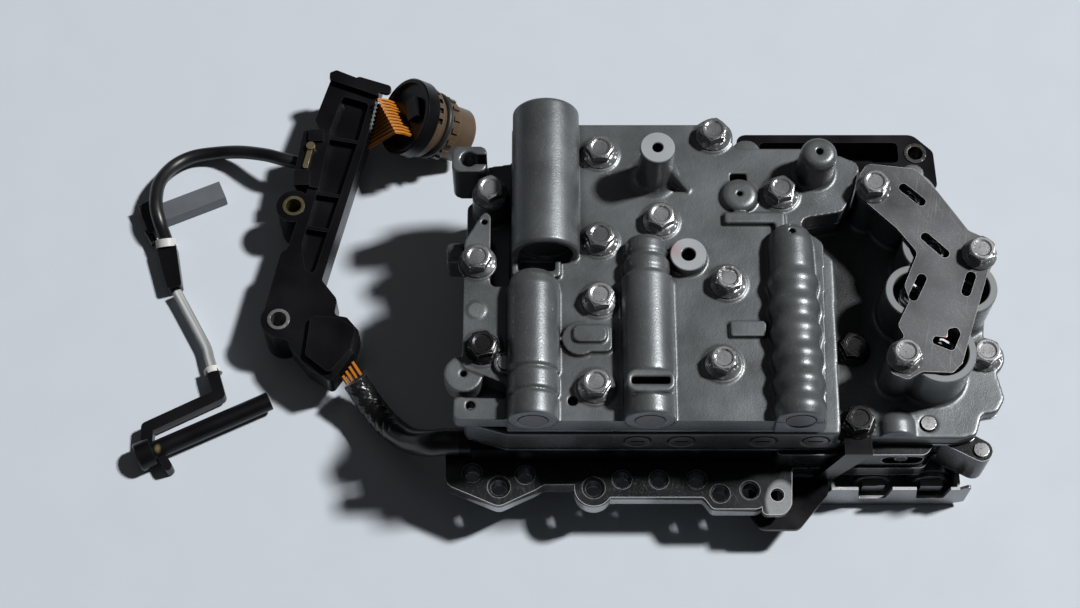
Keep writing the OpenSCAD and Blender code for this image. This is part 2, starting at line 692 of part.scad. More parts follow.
module lower_valve_body() {
    color("gray")
    union() {
        difference() {
            union() {
                slab(flange_outline, [z_flange, z_block]);
                post(flange_boss, [z_flange, z_block], flange_boss_r);
                slab(block_outline, [z_block - over, z_plate_1]);
                slab(ear_outline, [z_block - ear_t, z_block]);
                slab(strip([dowels[2].x, dowels[2].y], front_lug_root, front_lug_r), [z_flange, z_plate_1]);
                post(long_bolts[3], [z_flange, z_plate_1], lug_r);
                post([0, 0], [0, z_flange + over], feed_r + feed_wall);
                nose_block(row_x, row_face);
                nose_block(tray_x, tray_face);
                for (p = feet)
                    post(p, [0, z_flange + over], p[2]);
            }
            post([0, 0], [-over, z_block + 4], feed_r);
            nose_bores(row_x, row_face);
            nose_bores(tray_x, tray_face);
            for (p = flange_holes)
                flange_hole(p);
            post(strap_hole, [z_flange - over, z_block + over], strap_hole_r);
            bolt_holes(long_bolts, [long_bolt_tip - over, z_plate_1 + over], screw_fit);
            post(dowels[2], [dowels[2][2], z_plate_1 + over], dowel_r + screw_fit);
            rotate([90, 0, 0])
                slab(strip([gallery_x[0], gallery_z], [gallery_x[1], gallery_z], gallery_r), [gallery_y, 68]);
        }
        bar(gallery_x[0] + 4, [-gallery_y - 1.2, over - gallery_y], gallery_z, gallery_r - 1.4);
    }
}

// Conduit along the front, and the strap that the right front bolt holds
strap_z = [z_flange - 4, z_flange - 4 + strap_t];
strap_face = [68.4, 68.4 + strap_t];
strap_top = z_shelf + strap_t;
strap_leg = [[36.4, strap_z[0], 0], [43.4, strap_z[0], 0], [57.5, strap_top, 0], [46.5, strap_top, 0]];
strap_lobe = [
    [11.2, -72, 3], [11.2, -85, 4], [15, -91, 4], [31, -91, 4], [43.8, -75.5, 2],
    [43.8, -strap_face[0], 0], [20, -strap_face[0], 2]
];
module lead_frame() {
    color("black")
    union() {
        slab(panel([frame_left, frame_right], [frame_front, frame_rear], 2), [z_block, frame_top]);
        translate(sleeve_route[0])
            rotate([0, 90, 0])
                cylinder(r = sleeve_d / 2, h = frame_left - sleeve_route[0].x + 4);
        bolt_strap();
    }
}
module bolt_strap() {
    seat = long_bolts[5];
    difference() {
        union() {
            post(seat, [z_shelf, strap_top], bolt_flange_r);
            block([46.5, 57.5], [-strap_face[1], seat.y], [z_shelf, strap_top]);
            rotate([90, 0, 0])
                slab(strap_leg, strap_face);
            slab(strap_lobe, strap_z);
        }
        post(seat, [z_shelf - over, strap_top + over], bolt_r + hole_gap);
    }
}

module oil_strainer() {
    color("black")
    difference() {
        union() {
            slab(strainer_outline, [6, strainer_top]);
            slab(strainer_pan, [0, z_flange - gap]);
        }
        slab(panel([22, 83], [74.5, 84.5], 2), [strainer_top - 12, strainer_top + over]);
        post(strainer_bush, [-over, strainer_top + over], bush_r + screw_fit);
    }
}

cover_slots = [
    [[74.2, 37.2], [80.8, 30.8]], [[81.3, 14.6], [88.3, 7.2]], [[74.2, -12], [78.2, -4]],
    [[95.4, -10], [98, -3]]
];
slot_r = 2;
vee_slot = [
    [79.6, -32.4, 1.4], [88, -36, 1.6], [91.6, -28.4, 1.8], [90.4, -25.4, 1.6], [86.6, -26.2, 1.6],
    [86, -30, 0.6], [81, -29.2, 1.4]
];
module accumulator_cover() {
    color("gray")
    difference() {
        slab(cover_outline, [z_tower, z_cover]);
        for (s = cover_slots)
            slab(strip(s[0], s[1], slot_r), [z_tower - over, z_cover + over]);
        slab(vee_slot, [z_tower - over, z_cover + over]);
        bolt_holes(cover_bolts, [z_tower - over, z_cover + over], hole_gap);
    }
}

tray_left = tray_x[0] - can_r - 9;
tray_right = tray_x[1] + can_r + 6;
tray_front = tray_face - can_len - 8;
tray_rear = tray_face - 1.5;
tray_wall_h = foot_h - 1.5;
notch_w = 14.4;
notch_floor = sol_z - 2.5;
hook_h = 4;
tray_side = tray_right - hook_h;
module solenoid_tray() {
    color("darkgray")
    difference() {
        union() {
            block([tray_left, tray_side], [tray_front, tray_rear], [0, tray_t]);
            rotate([90, 0, 0])
                slab([[tray_left - hook_h, 0, 1], [tray_side - hook_h, 0, 2], [tray_right, hook_h, 2],
                    [tray_right, tray_wall_h + hook_h, 1], [tray_side, tray_wall_h, 1],
                    [tray_left, tray_wall_h, 1]], [-tray_front - tray_t, -tray_front]);
            block([tray_left, tray_left + tray_t], [tray_front, tray_rear], [0, tray_wall_h]);
            block([tray_side - tray_t, tray_side], [tray_front, tray_rear], [0, tray_wall_h]);
        }
        for (x = tray_x)
            rotate([90, 0, 0])
                slab([[x - notch_w / 2 + 1.5, notch_floor, 1], [x + notch_w / 2 - 1.5, notch_floor, 1],
                    [x + notch_w / 2, tray_wall_h + over, 0], [x - notch_w / 2, tray_wall_h + over, 0]],
                    [-tray_front - tray_t - over, over - tray_front]);
    }
}

module damper_piston() {
    color("silver")
    turned_back([damper_x, damper_piston_y, damper_z],
        [[0, 0], [damper_bore_r - run_fit, 0], [damper_bore_r - run_fit, 4], [damper_bore_r - 1.4, 4],
         [damper_bore_r - 1.4, 6], [damper_bore_r - run_fit, 6], [damper_bore_r - run_fit, damper_piston_len],
         [damper_bore_r - 3, damper_piston_len], [damper_bore_r - 3, 4], [0, 4]]);
}
module damper_spring() {
    color("lightgray")
    translate([damper_x, damper_piston_y + 4 + gap, damper_z])
        rotate([-90, 0, 0])
            coil(damper_plug_y - damper_piston_y - 4 - 2 * gap, 8, damper_bore_r - 4.6, 1);
}
module damper_plug() {
    color("silver")
    turned_back([damper_x, damper_plug_y, damper_z],
        [[0, 0], [damper_bore_r - run_fit, 0], [damper_bore_r - run_fit, damper_plug_len],
         [4, damper_plug_len], [4, damper_plug_len - 3], [0, damper_plug_len - 3]]);
}

// Turned valve with three lands, from y to the rear
module spool(x, y, z, r, length) {
    middle = length / 2;
    turned_back([x, y, z],
        [[0, 0], [r, 0], [r, land_len], [stem_r, land_len], [stem_r, middle - 4], [r, middle - 4],
         [r, middle + 4], [stem_r, middle + 4], [stem_r, length - land_len], [r, length - land_len],
         [r, length], [0, length]]);
}
module upper_spool(i) {
    color("silver")
    spool(spool_x[i], spool_front, spool_z, spool_r, bore_back[i] - gap - spool_front);
}
module upper_spring(i) {
    color("lightgray")
    translate([spool_x[i], front_y + plug_len + gap, spool_z])
        rotate([-90, 0, 0])
            coil(spring_len - 2 * gap, 5, spool_bore_r - 2, 0.6);
}
module primary_valve() { upper_spool(0); }
module lockup_valve() { upper_spool(1); }
module secondary_valve() { upper_spool(2); }
module primary_spring() { upper_spring(0); }
module lockup_spring() { upper_spring(1); }
module secondary_spring() { upper_spring(2); }

module upper_bore_plugs() {
    color("silver")
    for (i = [0:2])
        difference() {
            bar(spool_x[i], [bulge_front, front_y + plug_len], spool_z, spool_r);
            block([spool_x[i] - bulge_r, spool_x[i] + bulge_r],
                [key_y - key_t / 2 - key_play, key_y + key_t / 2 + key_play],
                i == 1 ? [spool_z - 1, spool_z + bulge_r] : [spool_z - bulge_r, spool_z + 1]);
        }
}

// Keeper plate with shoulders, standing on its foot
module keeper(x, z, up) {
    translate([x, key_y, z])
        rotate([90, 0, 0])
            translate([0, 0, -key_t / 2])
                linear_extrude(key_t)
                    polygon([
                        for (p = [
                            [-key_foot_w / 2, -1], [key_foot_w / 2, -1], [key_foot_w / 2, key_shoulder],
                            [key_w / 2, key_shoulder], [key_w / 2, key_end], [-key_w / 2, key_end],
                            [-key_w / 2, key_shoulder], [-key_foot_w / 2, key_shoulder]
                        ]) [p.x, up * p.y]
                    ]);
}
module plug_keepers() {
    color("darkslategray") {
        keeper(spool_x[0], spool_z, -1);
        keeper(spool_x[1], spool_z, 1);
        keeper(spool_x[2], spool_z, -1);
    }
}

module clutch_valve(i) {
    color("silver")
    spool(mid_x[i], mid_valve_front, mid_z, mid_valve_r, mid_bore_back - gap - mid_valve_front);
}
module clutch_spring(i) {
    color("lightgray")
    translate([mid_x[i], mid_front + mid_plug_len + gap, mid_z])
        rotate([-90, 0, 0])
            coil(spring_len - 2 * gap, 5, mid_bore_r - 1.6, 0.6);
}
module clutch_valve_1() { clutch_valve(0); }
module clutch_valve_2() { clutch_valve(1); }
module clutch_valve_3() { clutch_valve(2); }
module clutch_spring_1() { clutch_spring(0); }
module clutch_spring_2() { clutch_spring(1); }
module clutch_spring_3() { clutch_spring(2); }

// Screwdriver slot of a middle bore plug: length, and width that is also its depth
plug_slot = [6, 1.2];
module middle_bore_plugs() {
    color("silver")
    for (x = concat(mid_x, [manual_x]))
        difference() {
            bar(x, [mid_front, mid_front + mid_plug_len], mid_z, mid_valve_r);
            block([x - plug_slot[0] / 2, x + plug_slot[0] / 2], [mid_front - over, mid_front + plug_slot[1]],
                [mid_z - plug_slot[1] / 2, mid_z + plug_slot[1] / 2]);
        }
}

// Manual valve with its hook groove at the rear
module manual_valve() {
    length = manual_tail - manual_front;
    color("silver")
    turned_back([manual_x, manual_front, mid_z],
        [[0, 0], [mid_valve_r, 0], [mid_valve_r, 10], [stem_r, 10], [stem_r, 30], [mid_valve_r, 30],
         [mid_valve_r, 42], [stem_r, 42], [stem_r, 62], [mid_valve_r, 62], [mid_valve_r, 76], [stem_r, 76],
         [stem_r, 88], [mid_valve_r, 88], [mid_valve_r, length - 5], [2.4, length - 5], [2.4, length - 2],
         [mid_valve_r, length - 2], [mid_valve_r, length], [0, length]]);
}

module accumulator_piston(i) {
    r = acc[i][2] - run_fit;
    color("silver")
    turned([acc[i].x, acc[i].y, acc_piston_z],
        [[0, 0], [r, 0], [r, 3], [r - 1.2, 3], [r - 1.2, 5], [r, 5], [r, acc_piston_h],
         [r - cup_wall, acc_piston_h], [r - cup_wall, cup_floor], [0, cup_floor]]);
}
module accumulator_spring(i) {
    foot = acc_piston_z + cup_floor + gap;
    color("lightgray")
    translate([acc[i].x, acc[i].y, foot])
        coil(z_tower - gap - foot, 6, acc[i][2] - cup_wall - 1.6, 0.9);
}
module accumulator_piston_1() { accumulator_piston(0); }
module accumulator_piston_2() { accumulator_piston(1); }
module accumulator_piston_3() { accumulator_piston(2); }
module accumulator_piston_4() { accumulator_piston(3); }
module accumulator_piston_5() { accumulator_piston(4); }
module accumulator_spring_1() { accumulator_spring(0); }
module accumulator_spring_2() { accumulator_spring(1); }
module accumulator_spring_3() { accumulator_spring(2); }
module accumulator_spring_4() { accumulator_spring(3); }
module accumulator_spring_5() { accumulator_spring(4); }

module check_balls() {
    color("silver")
    for (p = ball_sites)
        translate([p.x, p.y, z_plate_2 - ball_pocket + ball_r + gap])
            sphere(r = ball_r);
}

// Hexagon flange bolt with chamfered corners and a dished top, turned about its axis by an angle
bolt_rim_h = 0.8;
bolt_dish_r = bolt_af / 2 - 1.2;
bolt_dish_h = 0.7;
module flange_bolt(p, seat, tip, angle) {
    corner_r = bolt_af / sqrt(3);
    head_h = bolt_flange_h + bolt_hex_h;
    difference() {
        union() {
            post(p, [tip, seat + bolt_rim_h], bolt_r);
            turned([p.x, p.y, seat],
                [[0, 0], [bolt_flange_r, 0], [bolt_flange_r, bolt_rim_h],
                 [bolt_af / 2, bolt_flange_h + bolt_rim_h], [0, bolt_flange_h + bolt_rim_h]]);
            intersection() {
                translate([p.x, p.y, seat + bolt_rim_h])
                    rotate([0, 0, angle])
                        cylinder(r = corner_r, h = head_h - bolt_rim_h, $fn = 6);
                turned([p.x, p.y, seat],
                    [[0, 0], [corner_r + over, 0], [corner_r + over, head_h - 1.7],
                     [bolt_af / 2 - 0.4, head_h], [0, head_h]]);
            }
        }
        turned([p.x, p.y, seat + head_h - bolt_dish_h],
            [[0, 0], [bolt_dish_r - bolt_dish_h, 0], [bolt_dish_r + over, bolt_dish_h + over],
             [0, bolt_dish_h + over]]);
    }
}
module body_bolts() {
    color("lightgray") {
        for (i = [0:len(deck_bolts) - 1])
            flange_bolt(deck_bolts[i], z_deck + seat_h, deck_bolt_tip, 17 * i);
        for (i = [0:len(cover_bolts) - 1])
            flange_bolt(cover_bolts[i], z_cover, cover_bolt_tip, 23 * i);
    }
}
module long_bolts() {
    color("gray")
    for (i = [0:len(long_bolts) - 1])
        flange_bolt(long_bolts[i], long_bolts[i][2], long_bolt_tip, 13 * i);
}

module dowel_pins() {
    color("lightgray")
    for (d = dowels)
        post(d, [d[2], d[3]], dowel_r);
}

module solenoid(x, face) {
    color("silver")
    union() {
        bar(x, [face - can_len, face], sol_z, can_r);
        bar(x, [face - over, face + nose_len], sol_z, nose_r);
        bar(x, [face - can_len - 2, face - can_len + over], sol_z, can_r - 1.5);
        block([x - 4.5, x + 4.5], [face - can_len - 5, face - can_len], [sol_z - 4, sol_z + 4]);
    }
}
module solenoid_1() { solenoid(row_x[0], row_face); }
module solenoid_2() { solenoid(row_x[1], row_face); }
module solenoid_3() { solenoid(row_x[2], row_face); }
module solenoid_4() { solenoid(row_x[3], row_face); }
module solenoid_5() { solenoid(tray_x[0], tray_face); }
module solenoid_6() { solenoid(tray_x[1], tray_face); }

bracket_trough = [
    [-163.5, 111, 2], [-168.5, 93, 2], [-172.5, 63, 2], [-178, 36, 2], [-176, 24, 2], [-172, 22, 2],
    [-155.5, 88, 2], [-151.5, 107, 2]
];
trough_h = 4;
rib_t = 1.6;
bracket_ribs = [
    [[-178, 45.3], [-165, 42.8]], [[-175, 62.2], [-160.5, 59.8]], [[-171, 90.2], [-153.8, 87]]
];
end_plate = [
    [-169.5, 121.5, 1], [-169.5, 118, 1], [-147.5, 109.5, 1], [-145.5, 113.5, 1], [-166.5, 122.8, 1]
];
socket_box = [
    [-172, 1, 2], [-173.5, -17, 2], [-163, -25.5, 2], [-154.5, -14, 2], [-152.8, -5, 2], [-160, 0, 2]
];
connector_strap = [[-156, 117], [-143.8, 112.9]];
connector_strap_r = 2.2;
raised_h = 3;
clamp_plates = [panel([-177.4, -170.6], [86.2, 92], 1), panel([-183, -175.8], [64, 71.5], 1)];
module harness_bracket() {
    color("black")
    difference() {
        union() {
            difference() {
                slab(bracket_outline, [bracket_z, bracket_top]);
                slab(bracket_trough, [bracket_top - trough_h, bracket_top + over]);
            }
            for (r = bracket_ribs)
                slab(taper(r[0], r[1], rib_t / 2, rib_t / 2, 0),
                    [bracket_top - trough_h - over, bracket_top - 0.6]);
            slab(clamp_outline, [bracket_z, clamp_top]);
            for (c = clamp_plates)
                slab(c, [clamp_top - over, clamp_top + rib_t]);
            slab(end_plate, [bracket_top - raised_h, bracket_top + raised_h]);
            slab(socket_box, [bracket_top - over, bracket_top + raised_h]);
            slab(strip(connector_strap[0], connector_strap[1], connector_strap_r),
                [bracket_top + over, bracket_top + raised_h]);
            for (p = bracket_bushes)
                post(p, [0, bracket_top], ear_r);
        }
        for (p = bracket_bushes)
            post(p, [-over, bracket_top + over], bush_r + screw_fit);
    }
}

// Bushes of the bolt holes, and the riveted strip of the cable clamp
clamp_strip = [[-176.2, 83.4], [-178.2, 73.6]];
module bolt_bush(p, z) {
    difference() {
        post(p, z, bush_r);
        post(p, [z[0] - over, z[1] + over], bush_bore_r);
    }
}
module bolt_bushes() {
    color("darkkhaki") {
        for (p = bracket_bushes)
            bolt_bush(p, [0, bracket_top + 0.5]);
        bolt_bush(strainer_bush, [6, strainer_top + 0.5]);
        union() {
            slab(strip(clamp_strip[0], clamp_strip[1], 1.1), [clamp_top + gap, clamp_top + gap + 1]);
            post(clamp_strip[0], [clamp_top + gap, clamp_top + gap + 2], 1.9);
        }
    }
}

// Frame of the round connector: its axis runs from the insert to the nose
module on_connector() {
    translate(connector_at)
        rotate([0, 90 + connector_tilt, connector_yaw])
            children();
}
// Insert with a raised rim and a keyed block, from which the wires come
insert_rim = 1.6;
module connector_insert() {
    rim_r = connector_r + 1.5;
    color("black")
    on_connector()
        union() {
            turned([0, 0, 0],
                [[0, 0], [rim_r - 2.4, 0], [rim_r - 2, -insert_rim], [rim_r - 0.6, -insert_rim], [rim_r, -1],
                 [rim_r, insert_t], [0, insert_t]]);
            block([-10, -4], [-5, 5], [-3, over]);
        }
}
collar_windows = [-27, -9, 9, 27];
window_w = 2.6;
barrel_ribs = 16;
rib_h = 0.9;
module connector_housing() {
    collar_end = insert_t + collar_t;
    groove = collar_end + 3;
    rib_start = groove + 2 * seal_r + rib_h;
    barrel_end = collar_end + barrel_len;
    nose_end = barrel_end + nose_end_len;
    color("saddlebrown")
    on_connector()
        difference() {
            union() {
                turned([0, 0, 0],
                    [[0, insert_t], [connector_r, insert_t], [connector_r, collar_end], [barrel_r, collar_end],
                     [barrel_r, groove], [barrel_r - seal_r, groove], [barrel_r - seal_r, groove + 2 * seal_r],
                     [barrel_r, groove + 2 * seal_r], [barrel_r, barrel_end], [nose_end_r, barrel_end],
                     [nose_end_r, nose_end - 1], [nose_end_r - 1, nose_end], [nose_end_r - 3, nose_end],
                     [nose_end_r - 3, nose_end - 3], [0, nose_end - 3]]);
                for (i = [0:barrel_ribs - 1])
                    rotate([0, 0, 360 * (i + 0.5) / barrel_ribs])
                        block([barrel_r - 2, barrel_r + rib_h], [-1, 1], [rib_start, barrel_end - rib_h]);
                rotate([0, 0, 70])
                    block([nose_end_r - 1, connector_r - rib_h], [-3, 3],
                        [barrel_end - rib_h / 2, barrel_end + 5]);
            }
            for (a = collar_windows)
                rotate([0, 0, 180 + a])
                    block([connector_r - 1.6, connector_r + over], [-window_w / 2, window_w / 2],
                        [insert_t + 0.7, collar_end - 0.7]);
        }
}
module connector_seal() {
    color("black")
    on_connector()
        translate([0, 0, insert_t + collar_t + 3 + seal_r])
            rotate_extrude()
                translate([barrel_r + 0.1, 0])
                    circle(r = seal_r - 0.1);
}

// Ribbon of wires from the bracket to the connector, and the wires at the harness mouth
wire_count = 11;
wire_pitch = 2.15;
wire_r = 0.84;
root_up = -2.5;
root_slope = -0.45;
ribbon_start = [-151.4, 86.6, bracket_top - 4];
ribbon_slope = 0.16;
mouth_count = 4;
mouth_pitch = 2.2;
mouth_len = 6;
function on_mouth(across, back) =
    let (last = len(sleeve_route) - 1, axis = heading(sleeve_route, last), side = unit(cross([0, 0, 1], axis)))
    sleeve_route[last] + side * across + axis * back;
function on_insert(across, up, back) =
    let (
        yaw = [cos(connector_yaw), sin(connector_yaw), 0],
        axis = yaw * cos(connector_tilt) - [0, 0, sin(connector_tilt)],
        side = [-sin(connector_yaw), cos(connector_yaw), 0]
    )
    connector_at + side * across + cross(axis, side) * up - axis * back;
module signal_wires() {
    color("darkorange") {
        for (i = [0:wire_count - 1])
            let (
                start = ribbon_start + [ribbon_slope, 1, 0] * wire_pitch * i,
                across = wire_pitch * (i - (wire_count - 1) / 2),
                up = root_up + root_slope * across
            )
            tube([
                start, start + [2.4, 0, 2.8], on_insert(across, up - 1, 8), on_insert(across, up, 5),
                on_insert(across, up, gap)
            ], wire_r, 6);
        for (i = [0:mouth_count - 1])
            let (across = mouth_pitch * (i - (mouth_count - 1) / 2))
            tube([
                on_mouth(across, mouth_len - 0.4 * across), on_mouth(across, mouth_len / 2),
                on_mouth(across, 2 * gap)
            ], wire_r, 6);
    }
}

module harness_sleeve() {
    color("black")
    tube(sleeve_route, sleeve_d / 2, 10);
}
module sensor_cable() {
    color("black")
    tube(cable_route, cable_d / 2, 8);
}
module sensor_lead() {
    color("gainsboro")
    tube(lead_route, lead_d / 2, 8);
}

// Bands that clamp the cable, each a ring round the gap between two stretches
module band(p, q, r) {
    along(p, q)
        cylinder(r = r, h = norm(q - p));
}
module cable_bands() {
    cable_end = cable_route[len(cable_route) - 1];
    lead_end = lead_route[len(lead_route) - 1];
    color("white") {
        band(cable_end, concat(boot_route[0], boot_band_z), cable_d / 2 + band_wall);
        band(lead_end, concat(arm_route[0], lead_end.z), lead_d / 2 + band_wall);
    }
}

// Flat sensor with its foot, and the stub that joins the first band
input_size = [6.8, 8.6];
input_foot_size = [6.8, 15, 6];
input_stub = [[-250, 53, 3.6], [-248, 50, 4], [-246, 46.2, 4.4]];
input_stub_r = 1.8;
module input_speed_sensor() {
    color("gray")
    union() {
        along(input_foot, input_tip)
            union() {
                translate([-input_size[0] / 2, -input_size[1] / 2, 0])
                    cube([input_size[0], input_size[1], norm(input_tip - input_foot)]);
                cube(input_foot_size, center = true);
            }
        tube(input_stub, input_stub_r, 8);
    }
}

// Round sensor with its head and clip, the arm that carries its wires, and the boot on the lead
output_rod_r = 4;
output_head_r = 6.2;
output_head_len = 7;
output_clip = [[-234.5, -54.5], [-231.2, -59.6]];
clip_r = 1.9;
module output_speed_sensor() {
    color("black") {
        union() {
            along(output_head, output_tip)
                turned([0, 0, 0],
                    [[0, 0], [output_head_r - 0.6, 0], [output_head_r, 0.6], [output_head_r, output_head_len],
                     [output_rod_r, output_head_len], [output_rod_r, norm(output_tip - output_head)],
                     [0, norm(output_tip - output_head)]]);
            for (i = [0:len(arm_route) - 2])
                slab(strip(arm_route[i], arm_route[i + 1], arm_r), arm_z);
            slab(strip(output_clip[0], output_clip[1], clip_r), [over, arm_z[1]]);
        }
        slab(taper(boot_route[0], boot_route[1], 4.4, 3.2, 1.4), boot_z);
    }
}

upper_valve_body();
upper_separator_plate();
middle_valve_body();
lower_separator_plate();
lower_valve_body();
lead_frame();
oil_strainer();
accumulator_cover();
solenoid_tray();
damper_piston();
damper_spring();
damper_plug();
primary_valve();
lockup_valve();
secondary_valve();
primary_spring();
lockup_spring();
secondary_spring();
upper_bore_plugs();
plug_keepers();
clutch_valve_1();
clutch_valve_2();
clutch_valve_3();
clutch_spring_1();
clutch_spring_2();
clutch_spring_3();
middle_bore_plugs();
manual_valve();
accumulator_piston_1();
accumulator_piston_2();
accumulator_piston_3();
accumulator_piston_4();
accumulator_piston_5();
accumulator_spring_1();
accumulator_spring_2();
accumulator_spring_3();
accumulator_spring_4();
accumulator_spring_5();
check_balls();
body_bolts();
long_bolts();
dowel_pins();
solenoid_1();
solenoid_2();
solenoid_3();
solenoid_4();
solenoid_5();
solenoid_6();
harness_bracket();
bolt_bushes();
connector_housing();
connector_insert();
connector_seal();
signal_wires();
harness_sleeve();
sensor_cable();
sensor_lead();
input_speed_sensor();
output_speed_sensor();
cable_bands();
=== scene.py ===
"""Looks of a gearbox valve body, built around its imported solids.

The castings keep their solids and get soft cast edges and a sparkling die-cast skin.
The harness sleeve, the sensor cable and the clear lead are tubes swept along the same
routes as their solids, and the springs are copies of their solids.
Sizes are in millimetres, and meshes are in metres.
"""
from __future__ import annotations

import json
import logging
import math
from dataclasses import dataclass, replace
from enum import Enum
from typing import Any, ClassVar

import bmesh
import bpy
import numpy as np
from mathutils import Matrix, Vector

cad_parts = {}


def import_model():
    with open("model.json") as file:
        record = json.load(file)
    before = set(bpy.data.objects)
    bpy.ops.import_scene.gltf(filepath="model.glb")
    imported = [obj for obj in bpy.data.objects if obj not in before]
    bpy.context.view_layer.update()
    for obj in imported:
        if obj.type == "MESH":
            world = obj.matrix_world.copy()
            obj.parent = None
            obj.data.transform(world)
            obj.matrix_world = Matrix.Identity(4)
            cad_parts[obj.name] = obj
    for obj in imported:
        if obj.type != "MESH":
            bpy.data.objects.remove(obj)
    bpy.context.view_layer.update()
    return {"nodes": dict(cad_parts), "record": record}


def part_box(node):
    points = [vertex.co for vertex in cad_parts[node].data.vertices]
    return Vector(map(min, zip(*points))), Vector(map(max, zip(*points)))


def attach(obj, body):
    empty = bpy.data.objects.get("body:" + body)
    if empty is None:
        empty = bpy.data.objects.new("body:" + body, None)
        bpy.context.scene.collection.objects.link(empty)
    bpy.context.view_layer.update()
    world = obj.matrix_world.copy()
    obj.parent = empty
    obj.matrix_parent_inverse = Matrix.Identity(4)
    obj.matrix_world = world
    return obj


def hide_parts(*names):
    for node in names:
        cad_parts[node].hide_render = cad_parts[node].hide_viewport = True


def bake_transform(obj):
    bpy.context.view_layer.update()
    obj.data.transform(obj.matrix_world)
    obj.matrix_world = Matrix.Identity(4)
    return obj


LOG = logging.getLogger("valve_body")
MM = 0.001
HOUSING = "housing"
Colour = tuple[float, float, float]
Point = tuple[float, float, float]
Span = tuple[float, float]

# Colour of oil stains in corners, also used to paint shade into them.
DIRT_AND_SHADE: Colour = (0.012, 0.012, 0.012)
# Colour of the bright flecks, which are painted glints.
PAINTED_GLINT: Colour = (0.9, 0.9, 0.9)
PALE: Colour = (0.42, 0.44, 0.45)
# Colour of the oil-black long bolts, also used as painted shade on one bolt.
OILY_BLACK_AND_SHADE: Colour = (0.03, 0.03, 0.03)


def opaque(colour: Colour) -> tuple[float, ...]:
    """Returns a colour with full alpha."""
    return (*colour, 1.0)


class Slot(Enum):
    """Material slots of the record, passed along with the new pieces but not given to them."""

    BRAID = "braid"
    CAST = "cast_aluminium"
    CABLE = "cable_rubber"
    CLEAR = "clear_tube"
    SPRING = "spring_steel"


class NodeSheet:
    """Adds and links the nodes of one node tree."""

    def __init__(self, tree: bpy.types.NodeTree) -> None:
        """Keeps the tree that the nodes go into."""
        self.tree = tree

    def add(self, kind: str, inputs: dict | None = None, **settings: Any) -> bpy.types.Node:
        """Adds one node, sets its properties and fills or links its inputs.

        Args:
            kind: Blender's name of the node's type.
            inputs: Input name or index to a value, or to an output socket to link.
            settings: Properties of the node itself.

        Returns:
            The new node.
        """
        node = self.tree.nodes.new(kind)
        for name, value in settings.items():
            setattr(node, name, value)
        for key, value in (inputs or {}).items():
            self.fill(node.inputs[key], value)
        return node

    def fill(self, socket: bpy.types.NodeSocket, value: Any) -> None:
        """Links an input to an output socket, or sets it to a value.

        Args:
            socket: The input.
            value: The output socket or the value.
        """
        if isinstance(value, bpy.types.NodeSocket):
            self.tree.links.new(value, socket)
        else:
            socket.default_value = value

    def math(self, operation: str, a: Any, b: Any = 0.0, clamp: bool = False) -> bpy.types.NodeSocket:
        """Returns the result of one operation on two values."""
        return self.add("ShaderNodeMath", {0: a, 1: b}, operation=operation, use_clamp=clamp).outputs[0]

    def mix(self, share: Any, a: Any, b: Any) -> bpy.types.NodeSocket:
        """Returns colour a mixed with colour b by a share."""
        return self.add("ShaderNodeMix", {0: share, 6: a, 7: b}, data_type="RGBA").outputs[2]

    def noise(self, vector: Any, scale: Any, detail: float = 2.0) -> bpy.types.NodeSocket:
        """Returns a soft noise from 0 to 1."""
        node = self.add("ShaderNodeTexNoise", {"Vector": vector, "Scale": scale, "Detail": detail})
        return node.outputs[0]

    def span(self, value: Any, given: Span, to: Span = (0.0, 1.0)) -> bpy.types.NodeSocket:
        """Returns a value mapped from a given span to another, and held at its ends."""
        node = self.add("ShaderNodeMapRange", {0: value, 1: given[0], 2: given[1], 3: to[0], 4: to[1]})
        return node.outputs[0]

    def group(self, tree: bpy.types.NodeTree, inputs: dict) -> bpy.types.Node:
        """Places a node group, fills or links its inputs, and returns its node."""
        return self.add("ShaderNodeGroup", inputs, node_tree=tree)


